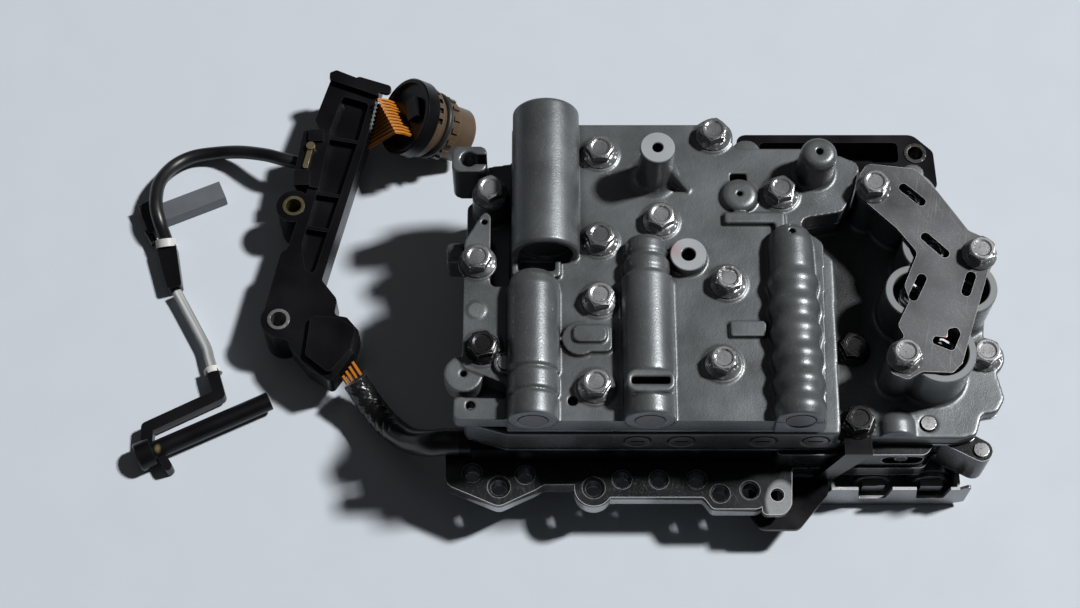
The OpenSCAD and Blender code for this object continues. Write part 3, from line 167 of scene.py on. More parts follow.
class EffectGroups:
    """Shader node groups that several finishes share, each built once.

    A span holds the values between which an effect goes from none to full. The scales of
    the clouds, the scratches and their gaps are in waves to the metre, and those of the
    coarse bumps and the flecks are shares of the grain's. A lay of scratches is its turn
    in radians and how far it is stretched.
    """

    COARSE_SCALE: ClassVar[float] = 0.23
    COARSE_HEIGHT: ClassVar[float] = 0.8
    FLECK_SCALE: ClassVar[float] = 1.6
    FLECK_SPAN: ClassVar[Span] = (0.90, 0.99)
    CLOUD_SCALE: ClassVar[float] = 42.0
    EDGE_SPAN: ClassVar[Span] = (0.995, 0.86)
    OPEN_SPAN: ClassVar[Span] = (0.55, 0.8)
    GRIME_AND_SHADE_SPAN: ClassVar[Span] = (0.78, 0.36)
    SCRATCH_LAYS: ClassVar[tuple[Span, ...]] = ((0.5, 60.0), (-0.2, 45.0))
    SCRATCH_SCALE: ClassVar[float] = 2600.0
    SCRATCH_SPAN: ClassVar[Span] = (0.6, 0.74)
    GAP_SCALE: ClassVar[float] = 60.0
    GAP_SPAN: ClassVar[Span] = (0.44, 0.7)
    _made: ClassVar[dict[str, bpy.types.NodeTree]] = {}

    @staticmethod
    def _start(name: str, inputs: list[str], outputs: list[str]) -> tuple[Any, Any, Any, NodeSheet]:
        """Makes an empty group with float sockets, and a vector where the name says so.

        Args:
            name: Name of the group.
            inputs: Names of its inputs.
            outputs: Names of its outputs.

        Returns:
            The group, its input node, its output node and a sheet for its nodes.
        """
        tree = bpy.data.node_groups.new(name, "ShaderNodeTree")
        for direction, names in (("INPUT", inputs), ("OUTPUT", outputs)):
            for socket in names:
                kind = "NodeSocketVector" if socket == "Vector" else "NodeSocketFloat"
                tree.interface.new_socket(socket, in_out=direction, socket_type=kind)
        sheet = NodeSheet(tree)
        return tree, sheet.add("NodeGroupInput"), sheet.add("NodeGroupOutput"), sheet

    @classmethod
    def skin(cls) -> bpy.types.NodeTree:
        """Builds the grain of a surface: fine bumps, bright flecks and broad cloudy patches.

        Returns:
            The group, from a vector and the grain's scale to height, flecks and clouds.
        """
        if "skin" not in cls._made:
            tree, given, out, sheet = cls._start(
                "surface_skin", ["Vector", "Grain"], ["Height", "Fleck", "Cloud"])
            vector, grain = given.outputs["Vector"], given.outputs["Grain"]
            fine = sheet.noise(vector, grain, detail=4.0)
            coarse = sheet.noise(vector, sheet.math("MULTIPLY", grain, cls.COARSE_SCALE))
            cell_scale = sheet.math("MULTIPLY", grain, cls.FLECK_SCALE)
            cells = sheet.add("ShaderNodeTexVoronoi", {"Vector": vector, "Scale": cell_scale})
            chance = sheet.add("ShaderNodeSeparateColor", {0: cells.outputs["Color"]}).outputs[0]
            height = sheet.math("ADD", fine, sheet.math("MULTIPLY", coarse, cls.COARSE_HEIGHT))
            sheet.fill(out.inputs["Height"], height)
            sheet.fill(out.inputs["Fleck"], sheet.span(chance, cls.FLECK_SPAN))
            sheet.fill(out.inputs["Cloud"], sheet.noise(vector, cls.CLOUD_SCALE, detail=3.0))
            cls._made["skin"] = tree
        return cls._made["skin"]

    @classmethod
    def edges_and_shade(cls) -> bpy.types.NodeTree:
        """Builds lighter outer edges, which are rubbed metal and painted glints, and darker inner corners,
        which are oil stains and painted shade.

        Returns:
            The group, from the edges' width and the corners' reach to masks of edges and of stained and
            shaded corners.
        """
        if "edges_and_shade" not in cls._made:
            tree, given, out, sheet = cls._start("edges_and_corners", ["EdgeWidth", "Reach"], ["Edge", "GrimeAndShade"])
            # Outer edges from the bevel's turn, lightened as rubbed metal and painted glints.
            bevel = sheet.add("ShaderNodeBevel", {"Radius": given.outputs["EdgeWidth"]}, samples=6)
            face = sheet.add("ShaderNodeNewGeometry").outputs["Normal"]
            dot = sheet.add("ShaderNodeVectorMath", {0: bevel.outputs[0], 1: face}, operation="DOT_PRODUCT")
            turn = sheet.span(dot.outputs["Value"], cls.EDGE_SPAN)
            # Ambient occlusion finds the inner corners that are darkened: oil stains and painted shade.
            shade = sheet.add("ShaderNodeAmbientOcclusion", {"Distance": given.outputs["Reach"]}, samples=8)
            opened = sheet.span(shade.outputs["AO"], cls.OPEN_SPAN)
            sheet.fill(out.inputs["Edge"], sheet.math("MULTIPLY", turn, opened))
            sheet.fill(out.inputs["GrimeAndShade"], sheet.span(shade.outputs["AO"], cls.GRIME_AND_SHADE_SPAN))
            cls._made["edges_and_shade"] = tree
        return cls._made["edges_and_shade"]

    @classmethod
    def scratches(cls) -> bpy.types.NodeTree:
        """Builds fine straight scratches in two directions, broken up by a broad noise.

        Returns:
            The group, from a vector to a mask of scratches.
        """
        if "scratches" not in cls._made:
            tree, given, out, sheet = cls._start("fine_scratches", ["Vector"], ["Mask"])
            vector = given.outputs["Vector"]
            lines = []
            for turn, stretch in cls.SCRATCH_LAYS:
                inputs = {"Vector": vector, "Rotation": (0.0, 0.0, turn), "Scale": (1.0, stretch, 1.0)}
                laid = sheet.add("ShaderNodeMapping", inputs, vector_type="TEXTURE").outputs[0]
                lines.append(sheet.span(sheet.noise(laid, cls.SCRATCH_SCALE), cls.SCRATCH_SPAN))
            broken = sheet.span(sheet.noise(vector, cls.GAP_SCALE, detail=3.0), cls.GAP_SPAN)
            mask = sheet.math("MULTIPLY", sheet.math("MAXIMUM", *lines), broken)
            sheet.fill(out.inputs["Mask"], mask)
            cls._made["scratches"] = tree
        return cls._made["scratches"]


@dataclass(frozen=True)
class Patch:
    """A rounded region of a solid that shows another colour.

    The region is the ellipsoid round a centre, in millimetres of the part's frame. soft
    is the share of its radius over which it fades.
    """

    centre: Point
    radii: Point
    colour: Colour
    share: float = 1.0
    soft: float = 0.1

    def over(self, sheet: NodeSheet, vector: Any, colour: Any) -> bpy.types.NodeSocket:
        """Lays the patch over a colour.

        The distance from the centre is counted in radii, axis by axis, so that it is 1 on
        the ellipsoid.

        Args:
            sheet: Sheet of the material.
            vector: Coordinates of the point.
            colour: The colour so far.

        Returns:
            The colour with the patch over it.
        """
        middle, radii = (tuple(c * MM for c in size) for size in (self.centre, self.radii))
        away = sheet.add("ShaderNodeVectorMath", {0: vector, 1: middle}, operation="SUBTRACT").outputs[0]
        scaled = sheet.add("ShaderNodeVectorMath", {0: away, 1: radii}, operation="DIVIDE").outputs[0]
        reach = sheet.add("ShaderNodeVectorMath", {0: scaled}, operation="LENGTH").outputs["Value"]
        share = sheet.span(reach, (1.0, 1.0 - self.soft), (0.0, self.share))
        return sheet.mix(share, colour, opaque(self.colour))


@dataclass(frozen=True)
class Finish:
    """One surface finish: its colour, gloss, grain, lighter edges of rubbed metal and painted glints, and
    darker corners of oil stains and painted shade.

    Lengths are in millimetres. grain is the size of the fine bumps and bump their depth,
    the edge width is that of the lighter edges, and reach is how far the stains and painted shade spread from
    a corner.
    """

    CLOUD_SPAN: ClassVar[Span] = (0.3, 0.7)
    FLECK_GLOSS: ClassVar[float] = 0.2

    name: str
    colour: Colour
    metallic: float = 0.0
    roughness: float = 0.5
    rough_spread: float = 0.1
    grain: float = 0.6
    bump: float = 0.02
    fleck: float = 0.0
    cloud: float = 0.15
    edge: float = 0.0
    edge_colour: Colour = (0.6, 0.6, 0.6)
    rub: float = 0.5
    grime_and_shade: float = 0.0
    reach: float = 5.0
    specular: float = 0.5
    patches: tuple[Patch, ...] = ()
    scratch: float = 0.0

    def build(self) -> bpy.types.Material:
        """Builds the finish as a material on its coordinates.

        Returns:
            The new material.
        """
        material = bpy.data.materials.new(self.name)
        material.use_nodes = True
        sheet = NodeSheet(material.node_tree)
        shader = material.node_tree.nodes["Principled BSDF"]
        vector = self.coordinates(sheet)
        skin = sheet.group(EffectGroups.skin(), {"Vector": vector, "Grain": 1.0 / (self.grain * MM)})
        colour = self.tint(sheet, skin)
        for patch in self.patches:
            colour = patch.over(sheet, vector, colour)
        colour = self.marks_and_painted_light(sheet, vector, colour)
        gloss = (self.roughness - self.rough_spread, self.roughness + self.rough_spread)
        rough = sheet.span(skin.outputs["Cloud"], self.CLOUD_SPAN, gloss)
        if self.fleck:
            shine = sheet.math("MULTIPLY", skin.outputs["Fleck"], self.FLECK_GLOSS)
            rough = sheet.math("SUBTRACT", rough, shine, clamp=True)
        bump = sheet.add("ShaderNodeBump", {
            "Height": skin.outputs["Height"], "Distance": self.bump * MM, "Strength": 1.0})
        for name, value in (("Metallic", self.metallic), ("Specular IOR Level", self.specular),
                            ("Base Color", colour), ("Roughness", rough), ("Normal", bump.outputs[0])):
            sheet.fill(shader.inputs[name], value)
        return material

    def coordinates(self, sheet: NodeSheet) -> bpy.types.NodeSocket:
        """Returns the coordinates that the grain lies on."""
        return sheet.add("ShaderNodeTexCoord").outputs["Object"]

    def tint(self, sheet: NodeSheet, skin: bpy.types.Node) -> bpy.types.NodeSocket:
        """Clouds the base colour and scatters bright flecks on it, which are painted glints.

        Args:
            sheet: Sheet of the material.
            skin: The material's skin group.

        Returns:
            The colour before patches and wear.
        """
        dark = tuple(c * (1.0 - self.cloud) for c in self.colour)
        light = tuple(min(1.0, c * (1.0 + self.cloud)) for c in self.colour)
        colour = sheet.mix(sheet.span(skin.outputs["Cloud"], self.CLOUD_SPAN), opaque(dark), opaque(light))
        if self.fleck:
            # The flecks are painted glints of the grain.
            share = sheet.math("MULTIPLY", skin.outputs["Fleck"], self.fleck)
            colour = sheet.mix(share, colour, opaque(PAINTED_GLINT))
        return colour

    def marks_and_painted_light(self, sheet: NodeSheet, vector: Any, colour: Any) -> bpy.types.NodeSocket:
        """Adds scratches, darker corners of oil stains and painted shade, and lighter edges of rubbed metal
        and painted glints, where the finish has them.

        Args:
            sheet: Sheet of the material.
            vector: Coordinates that the scratches lie on.
            colour: The colour so far.

        Returns:
            The colour with its scratches, darker corners and lighter edges.
        """
        # Colour of the scratches and of the lighter edges, which are partly painted glints.
        bare = opaque(self.edge_colour)
        if self.scratch:
            marks = sheet.group(EffectGroups.scratches(), {"Vector": vector})
            colour = sheet.mix(sheet.math("MULTIPLY", marks.outputs["Mask"], self.scratch), colour, bare)
        if self.edge or self.grime_and_shade:
            edge_and_corner_masks = sheet.group(EffectGroups.edges_and_shade(), {"EdgeWidth": self.rub * MM, "Reach": self.reach * MM})
            # Darkens the corners: oil stains and painted shade.
            dirt_and_shade = sheet.math("MULTIPLY", edge_and_corner_masks.outputs["GrimeAndShade"], self.grime_and_shade)
            colour = sheet.mix(dirt_and_shade, colour, opaque(DIRT_AND_SHADE))
            # Lightens the open edges: rubbed metal and painted glints.
            colour = sheet.mix(sheet.math("MULTIPLY", edge_and_corner_masks.outputs["Edge"], self.edge), colour, bare)
        return colour


@dataclass(frozen=True)
class Drawn(Finish):
    """A finish whose grain is drawn out along a cord, on its map of turn and length.

    girth and run are the lengths that one turn and the whole cord count as.
    """

    girth: float = 130.0
    run: float = 9.0

    def coordinates(self, sheet: NodeSheet) -> bpy.types.NodeSocket:
        """Stretches the cord's own map so that the grain lies lengthwise.

        Args:
            sheet: Sheet of the material.

        Returns:
            The stretched map.
        """
        turn_and_length = sheet.add("ShaderNodeTexCoord").outputs["UV"]
        scale = (self.girth * MM, self.run * MM, 1.0)
        return sheet.add("ShaderNodeMapping", {"Vector": turn_and_length, "Scale": scale}).outputs[0]


CAST = Finish(
    "cast_aluminium", (0.134, 0.144, 0.15), metallic=0.55, roughness=0.4, rough_spread=0.06, bump=0.06,
    fleck=0.16, cloud=0.2, edge=0.3, edge_colour=(0.42, 0.42, 0.42), grime_and_shade=0.9, reach=6.0, scratch=0.2,
    patches=(
        # Painted shade: darkens the castings' front faces.
        Patch((-30, -72, 42), (118, 16, 32), (0.02, 0.021, 0.023), share=0.85, soft=0.3),
        # Painted shade: darkens the pit between the deck and the towers.
        Patch((48, -4, 47), (19, 44, 12), (0.02, 0.02, 0.021), share=0.9, soft=0.5),
        Patch((-100.3, -16.4, 70.6), (3.4, 3.4, 0.6), PALE, share=0.25)))
# Near-black top of oil-stained metal with painted shade in it; its bright edges and hole rims are painted
# glints.
MILLED = Finish(
    "milled_aluminium", (0.016, 0.017, 0.018), metallic=0.25, roughness=0.3, rough_spread=0.06, bump=0.015,
    fleck=0.1, cloud=0.1, edge=1.0, edge_colour=(0.85, 0.86, 0.87), rub=0.6, grime_and_shade=0.6, reach=4.0,
    scratch=0.15,
    patches=(
        # Painted light: the ear's lower part, lit beyond the body's shadow.
        Patch((23, -83, 28.2), (7, 10.5, 9), PALE, share=0.7, soft=0.2),
        # Painted reflection: the flange's front wall made pale as if it mirrored the floor.
        Patch((-50, -92, 21), (90, 17, 6.5), (0.6, 0.62, 0.63), share=0.9, soft=0.1)))
FACED = Finish(
    "machined_face", (0.4, 0.425, 0.44), metallic=0.35, roughness=0.42, rough_spread=0.05, grain=0.4,
    bump=0.006, cloud=0.06, grime_and_shade=0.5, reach=2.0,
    patches=(
        Patch((-21.5, 8.5, 75.2), (5.5, 6, 4), (0.4, 0.24, 0.25), share=0.7, soft=0.9),
        Patch((84, 0, 72), (40, 62, 6), (0.2, 0.21, 0.218), share=0.9)))
PLATE = Finish(
    "plate_steel", (0.26, 0.26, 0.27), metallic=0.9, roughness=0.35, rough_spread=0.08, grain=0.4, bump=0.01,
    cloud=0.1, edge=0.4)
PRESSED = Finish(
    "pressed_steel", (0.094, 0.098, 0.104), metallic=0.6, roughness=0.42, rough_spread=0.08, grain=0.5,
    fleck=0.25, cloud=0.25, edge=0.9, edge_colour=(0.7, 0.7, 0.7), rub=0.35, grime_and_shade=0.6, scratch=0.25,
    patches=(
        # Painted reflection: the tray made light as if its front wall mirrored the pale floor.
        Patch((72, -54, 8), (60, 46, 18), (0.36, 0.365, 0.37)),
        Patch((86, -30.2, 73.4), (2.5, 1.5, 1.6), (0.5, 0.17, 0.2), share=0.8, soft=0.5)))
ZINC = Finish(
    "zinc_steel", (0.32, 0.325, 0.33), metallic=0.85, roughness=0.36, rough_spread=0.08, grain=0.5, fleck=0.1,
    cloud=0.2, edge=0.7, edge_colour=(0.8, 0.8, 0.8), rub=0.3, grime_and_shade=0.95, reach=3.0, scratch=0.3)
OILED = Finish(
    "oiled_steel", (0.05, 0.05, 0.05), metallic=0.8, roughness=0.26, grain=0.8, cloud=0.25, edge=0.7,
    edge_colour=(0.5, 0.5, 0.5), rub=0.35, grime_and_shade=0.7, reach=4.0)
LONG = replace(ZINC, name="long_bolt_steel", scratch=0.0, patches=(
    Patch((-97.5, -33.5, 74), (11, 11, 14), OILY_BLACK_AND_SHADE),
    # Painted shade on the bolt that stands in the pit; the other two bolts are black with oil.
    Patch((53, -24.5, 52), (11, 11, 14), OILY_BLACK_AND_SHADE),
    Patch((52.5, -57, 54), (11, 11, 14), OILY_BLACK_AND_SHADE)))
SPRING = Finish("spring_steel", (0.24, 0.24, 0.25), metallic=0.95, roughness=0.34)
TURNED = Finish(
    "turned_aluminium", (0.22, 0.22, 0.225), metallic=0.9, roughness=0.36, rough_spread=0.06, grain=0.4,
    bump=0.01, cloud=0.1, edge=0.3)
PLUG = Finish(
    "plug_aluminium", (0.1, 0.1, 0.103), metallic=0.8, roughness=0.34, rough_spread=0.06, grain=0.4,
    bump=0.01, cloud=0.1, edge=0.5, edge_colour=(0.4, 0.4, 0.4), rub=0.3, grime_and_shade=0.8, reach=3.0)
BALL = Finish(
    "ball_steel", (0.7, 0.7, 0.71), metallic=1.0, roughness=0.12, rough_spread=0.03, grain=0.4, bump=0.002)
CAN = Finish(
    "solenoid_steel", (0.3, 0.3, 0.31), metallic=0.9, roughness=0.34, rough_spread=0.08, bump=0.01, edge=0.4,
    edge_colour=(0.7, 0.7, 0.7), rub=0.4, grime_and_shade=0.6)
BRASS = Finish(
    "bush_brass", (0.42, 0.36, 0.2), metallic=0.95, roughness=0.32, rough_spread=0.08, grain=0.4, bump=0.01,
    edge=0.35, edge_colour=(0.7, 0.66, 0.5), rub=0.4, grime_and_shade=0.5, reach=4.0,
    patches=(
        Patch((-186, 0.5, 12), (9, 9, 24), (0.5, 0.5, 0.5)),
        Patch((90.5, 79, 17), (9, 9, 24), (0.1, 0.1, 0.1))))
BLACK = Finish(
    "black_plastic", (0.004, 0.004, 0.005), roughness=0.28, grain=0.5, bump=0.015, cloud=0.3, edge=0.25,
    edge_colour=(0.09, 0.09, 0.095), rub=0.4, specular=0.26,
    patches=(
        Patch((-235.5, -52.6, 9), (1.6, 2.2, 6), (0.2, 0.15, 0.05), share=0.8, soft=0.7),))
BROWN = Finish(
    "brown_plastic", (0.088, 0.058, 0.035), roughness=0.36, rough_spread=0.08, grain=0.7, cloud=0.25,
    edge=0.35, edge_colour=(0.3, 0.22, 0.14), grime_and_shade=0.9, reach=4.0)
SEAL = Finish("seal_rubber", (0.012, 0.012, 0.012))
ORANGE = Finish(
    "orange_wire", (0.44, 0.15, 0.01), roughness=0.34, rough_spread=0.05, grain=0.8, bump=0.005, grime_and_shade=0.95,
    reach=2.5, specular=0.3)
GREY = Finish(
    "grey_plastic", (0.12, 0.132, 0.148), roughness=0.4, rough_spread=0.08, grain=0.5, bump=0.015, edge=0.3,
    edge_colour=(0.4, 0.4, 0.4), rub=0.4,
    patches=(
        Patch((-252, 56, 4), (11, 13, 9), (0.008, 0.008, 0.009)),))
WHITE = Finish(
    "band_white", (0.62, 0.62, 0.6), roughness=0.42, rough_spread=0.08, cloud=0.08, grime_and_shade=0.5, reach=3.0)
BRAID = Finish(
    "braid", (0.01, 0.01, 0.011), roughness=0.26, rough_spread=0.08, grain=0.4, cloud=0.3, edge=0.3,
    edge_colour=(0.5, 0.5, 0.5), rub=0.3)
CABLE = Finish("cable_rubber", (0.01, 0.01, 0.011), roughness=0.34, grain=0.8, bump=0.03, cloud=0.3)
# Its strong lengthwise clouds are painted highlights and painted shade along the clear tube.
CLEAR = Drawn(
    "clear_tube", (0.5, 0.515, 0.51), metallic=0.25, roughness=0.16, rough_spread=0.06, grain=7.0, bump=0.5,
    cloud=0.95, grime_and_shade=0.3, reach=2.0)
FLOOR = Finish(
    "pale_floor", (0.60, 0.645, 0.70), roughness=0.24, rough_spread=0.02, grain=2.0, bump=0.002, cloud=0.01,
    specular=0.3)


class Mesher:
    """Turns numpy surfaces into Blender meshes."""

    @staticmethod
    def lathe(name: str, profiles: np.ndarray, centres: np.ndarray, sides: int = 64) -> bpy.types.Object:
        """Turns closed profiles round upright axes.

        A point is its centre plus the radius times the cosine and sine of the turn, and
        the profile's height, for every centre, turn and profile point at once.

        Args:
            name: Name of the object.
            profiles: Radius and height in metres, as ring, profile point, and the two.
            centres: Place in metres of each ring's axis, at height zero of its profile.
            sides: Points round a ring.

        Returns:
            The new object, at the origin.
        """
        count, steps = profiles.shape[:2]
        turn = np.linspace(0, 2 * math.pi, sides, endpoint=False)[None, :, None]
        radius, height = profiles[:, None, :, 0], profiles[:, None, :, 1]
        flat = np.stack([radius * np.cos(turn), radius * np.sin(turn), height + 0 * turn], -1)
        points = (centres[:, None, None, :] + flat).reshape(-1, 3)
        ring, here, step = np.meshgrid(np.arange(count), np.arange(sides), np.arange(steps), indexing="ij")
        after = (step + 1) % steps
        column = (ring * sides + here) * steps
        beside = (ring * sides + (here + 1) % sides) * steps
        quads = np.stack([column + step, beside + step, beside + after, column + after], -1)
        mesh = bpy.data.meshes.new(name)
        mesh.from_pydata(points.tolist(), [], quads.reshape(-1, 4).tolist())
        mesh.update()
        return Mesher.link(name, mesh)

    @staticmethod
    def link(name: str, mesh: bpy.types.Mesh) -> bpy.types.Object:
        """Puts a mesh into the scene.

        Args:
            name: Name of the object.
            mesh: Its mesh.

        Returns:
            The new object, at the origin.
        """
        piece = bpy.data.objects.new(name, mesh)
        bpy.context.scene.collection.objects.link(piece)
        return piece

    @staticmethod
    def tube(name: str, rings: np.ndarray) -> bpy.types.Object:
        """Joins rings of points into a closed tube with flat ends.

        Args:
            name: Name of the object.
            rings: Points in metres, as ring, point round the ring, and axis.

        Returns:
            The new object, at the origin, with a UV map of turns and share of the length.
        """
        count, sides = rings.shape[:2]
        step = np.arange(count - 1)[:, None] * sides
        here = np.arange(sides)[None, :]
        there = (here + 1) % sides
        corners = [step + here, step + there, step + sides + there, step + sides + here]
        quads = np.stack(corners, -1).reshape(-1, 4)
        ends = [list(range(sides))[::-1], list(range((count - 1) * sides, count * sides))]
        mesh = bpy.data.meshes.new(name)
        mesh.from_pydata(rings.reshape(-1, 3).tolist(), [], quads.tolist() + ends)
        mesh.polygons.foreach_set("use_smooth", [True] * len(quads) + [False, False])
        across, along = here + 0 * step, np.arange(count - 1)[:, None] + 0 * here
        turn = np.stack([across, across + 1, across + 1, across], -1) / sides
        share = np.stack([along, along, along + 1, along + 1], -1) / (count - 1)
        sides_map = np.stack([turn, share], -1).reshape(-1, 2)
        whole_map = np.vstack([sides_map, np.zeros((2 * sides, 2))])
        mesh.uv_layers.new(name="turn_and_length").data.foreach_set("uv", whole_map.ravel())
        mesh.update()
        return Mesher.link(name, mesh)


@dataclass(frozen=True)
class Route:
    """A smooth line through a few given points, in millimetres."""

    points: tuple[Point, ...]
    spans: int = 4

    def line(self, spans: int | None = None) -> np.ndarray:
        """Runs a Catmull-Rom curve through the points.

        Each span between two points is the cubic whose ends lie on them and whose slopes
        there are half the step between their neighbours.

        Args:
            spans: Steps in each span, or None for the route's own number.

        Returns:
            Points in metres, from the first to the last.
        """
        given = np.array(self.points) * MM
        padded = np.vstack([2 * given[:1] - given[1:2], given, 2 * given[-1:] - given[-2:-1]])
        before, start, end, after = padded[:-3], padded[1:-2], padded[2:-1], padded[3:]
        steps = spans or self.spans
        t = (np.arange(steps) / steps)[None, :, None]
        before, start, end, after = (a[:, None, :] for a in (before, start, end, after))
        bend = 2 * before - 5 * start + 4 * end - after
        twist = 3 * start - before - 3 * end + after
        curve = 0.5 * (2 * start + (end - before) * t + bend * t**2 + twist * t**3)
        return np.vstack([curve.reshape(-1, 3), given[-1:]])

    def rings(self, radius: np.ndarray | float, sides: int, spans: int) -> np.ndarray:
        """Carries a circle along the line, square to it.

        Args:
            radius: Radius in metres, one for all or one for each point of each ring.
            sides: Points round a ring.
            spans: Steps in each span of the route.

        Returns:
            Rings of points, as ring, point round the ring, and axis.
        """
        line = self.line(spans)
        ahead = np.gradient(line, axis=0)
        ahead /= np.linalg.norm(ahead, axis=1, keepdims=True)
        side = np.cross(np.array([0.0, 0.0, 1.0]), ahead)
        side /= np.linalg.norm(side, axis=1, keepdims=True)
        up = np.cross(ahead, side)
        turn = np.linspace(0, 2 * math.pi, sides, endpoint=False)[None, :, None]
        around = np.cos(turn) * side[:, None, :] + np.sin(turn) * up[:, None, :]
        grown = np.asarray(radius)[..., None] if np.ndim(radius) else radius
        return line[:, None, :] + around * grown


@dataclass
class Harness:
    """The cords of the harness: braided sleeve, sensor cable and clear lead."""

    sleeve_d: float = 11.0
    cable_d: float = 6.0
    lead_d: float = 4.5
    cord_sides: int = 24
    cord_spans: int = 12
    braid_sides: int = 96
    braid_spans: int = 40
    strands: int = 12
    strand_pitch: float = 5.5
    strand_depth: float = 0.35
    strand_dip: float = 0.25
    smooth_until: float = 34.0
    smooth_fade: float = 4.0
    sleeve: Route = Route((
        (-108, -59, 34.4), (-114, -59, 34.4), (-120, -58.5, 31.5), (-129, -53.5, 22), (-138, -44.5, 14.5),
        (-145.5, -35, 12.5), (-150, -29, 15), (-153, -25, 17.5)))
    cable: Route = Route((
        (-182.4, 80, 18), (-190, 82, 18), (-198, 85.5, 15.5), (-210, 90, 10), (-222, 92, 5.5),
        (-233, 90.5, 4.5), (-241, 84.5, 6), (-245.5, 74, 10), (-245.5, 62, 12.5), (-243.5, 54, 11.4),
        (-241, 47.5, 6.5)), 3)
    lead: Route = Route((
        (-234.4, 22.6, 4.4), (-231.5, 17.5, 4.1), (-227, 9.5, 4), (-222.5, 1.5, 4), (-219.4, -4.2, 4),
        (-217.8, -9.2, 4.1), (-216.2, -14, 4.2)))

    def build(self) -> list[bpy.types.Object]:
        """Returns:
            The cords' pieces.
        """
        cable_rings, lead_rings = (
            route.rings(thickness / 2 * MM, self.cord_sides, self.cord_spans)
            for route, thickness in ((self.cable, self.cable_d), (self.lead, self.lead_d)))
        sleeve = self.place("braided_sleeve", self.braid(), "harness_sleeve", BRAID, Slot.BRAID)
        cable = self.place("speed_sensor_cable", cable_rings, "sensor_cable", CABLE, Slot.CABLE)
        lead = self.place("clear_sensor_lead", lead_rings, "sensor_lead", CLEAR, Slot.CLEAR)
        self.declare(sleeve, self.sleeve, self.sleeve_d, "object", [])
        self.declare(cable, self.cable, self.cable_d, "connector", ["input_speed_sensor", "cable_bands"])
        self.declare(lead, self.lead, self.lead_d, "connector", ["output_speed_sensor"])
        return [sleeve, cable, lead]

    def braid(self) -> np.ndarray:
        """Weaves two sets of strands round the sleeve.

        A strand's height is the squared cosine across it, and the two sets cross over
        and under by turns, so the radius is the larger of the two heights at each point.
        The first part of the sleeve is smooth, under a wrap.

        Returns:
            Rings of points of the braided sleeve.
        """
        line = self.sleeve.line(self.braid_spans)
        run = np.concatenate([[0.0], np.cumsum(np.linalg.norm(np.diff(line, axis=0), axis=1))]) / MM
        turn = np.linspace(0, 1, self.braid_sides, endpoint=False)[None, :]
        along = run[:, None] / self.strand_pitch
        left, right = self.strands / 2 * turn + along, self.strands / 2 * turn - along
        over = np.sign(np.cos(np.pi * (left + right)) * np.cos(np.pi * (left - right)))
        first = np.cos(np.pi * left) ** 2 * (1 - self.strand_dip + self.strand_dip * over)
        second = np.cos(np.pi * right) ** 2 * (1 - self.strand_dip - self.strand_dip * over)
        bare = np.clip((run - self.smooth_until) / self.smooth_fade, 0, 1)[:, None]
        radius = self.sleeve_d / 2 - self.strand_depth * (1 - np.maximum(first, second)) * bare
        return self.sleeve.rings(radius * MM, self.braid_sides, self.braid_spans)

    @staticmethod
    def place(name: str, rings: np.ndarray, node: str, finish: Finish, slot: Slot) -> bpy.types.Object:
        """Makes a cord's tube, gives it its finish and lets it stand for its solid.

        Args:
            name: Name of the piece.
            rings: Its rings of points.
            node: The solid that it stands for.
            finish: Its finish.
            slot: The record's slot; not used.

        Returns:
            The new piece.
        """
        piece = Mesher.tube(name, rings)
        Wardrobe.dress(piece, finish)
        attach(piece, HOUSING)
        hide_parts(node)
        return piece

    @staticmethod
    def declare(piece: bpy.types.Object, route: Route, diameter: float, far_end: str,
                carried: list[str]) -> None:
        """Does nothing: a cord's real length, thickness and far end are not declared.

        Args:
            piece: The cord; not used.
            route: The line that it follows; not used.
            diameter: Its thickness; not used.
            far_end: What is at its far end; not used.
            carried: The solids that it carries; not used.
        """


class Wardrobe:
    """Materials by finish, each made once."""

    _made: ClassVar[dict[str, bpy.types.Material]] = {}

    @classmethod
    def material(cls, finish: Finish) -> bpy.types.Material:
        """Makes a finish's material the first time that it is asked for.

        Args:
            finish: The finish.

        Returns:
            Its material.
        """
        if finish.name not in cls._made:
            cls._made[finish.name] = finish.build()
        return cls._made[finish.name]

    @classmethod
    def dress(cls, solid: bpy.types.Object, finish: Finish) -> None:
        """Puts a finish on every slot of a piece, or on a new slot where it has none.

        Args:
            solid: The piece.
            finish: Its finish.
        """
        if not solid.material_slots:
            solid.data.materials.append(cls.material(finish))
        for slot in solid.material_slots:
            slot.material = cls.material(finish)


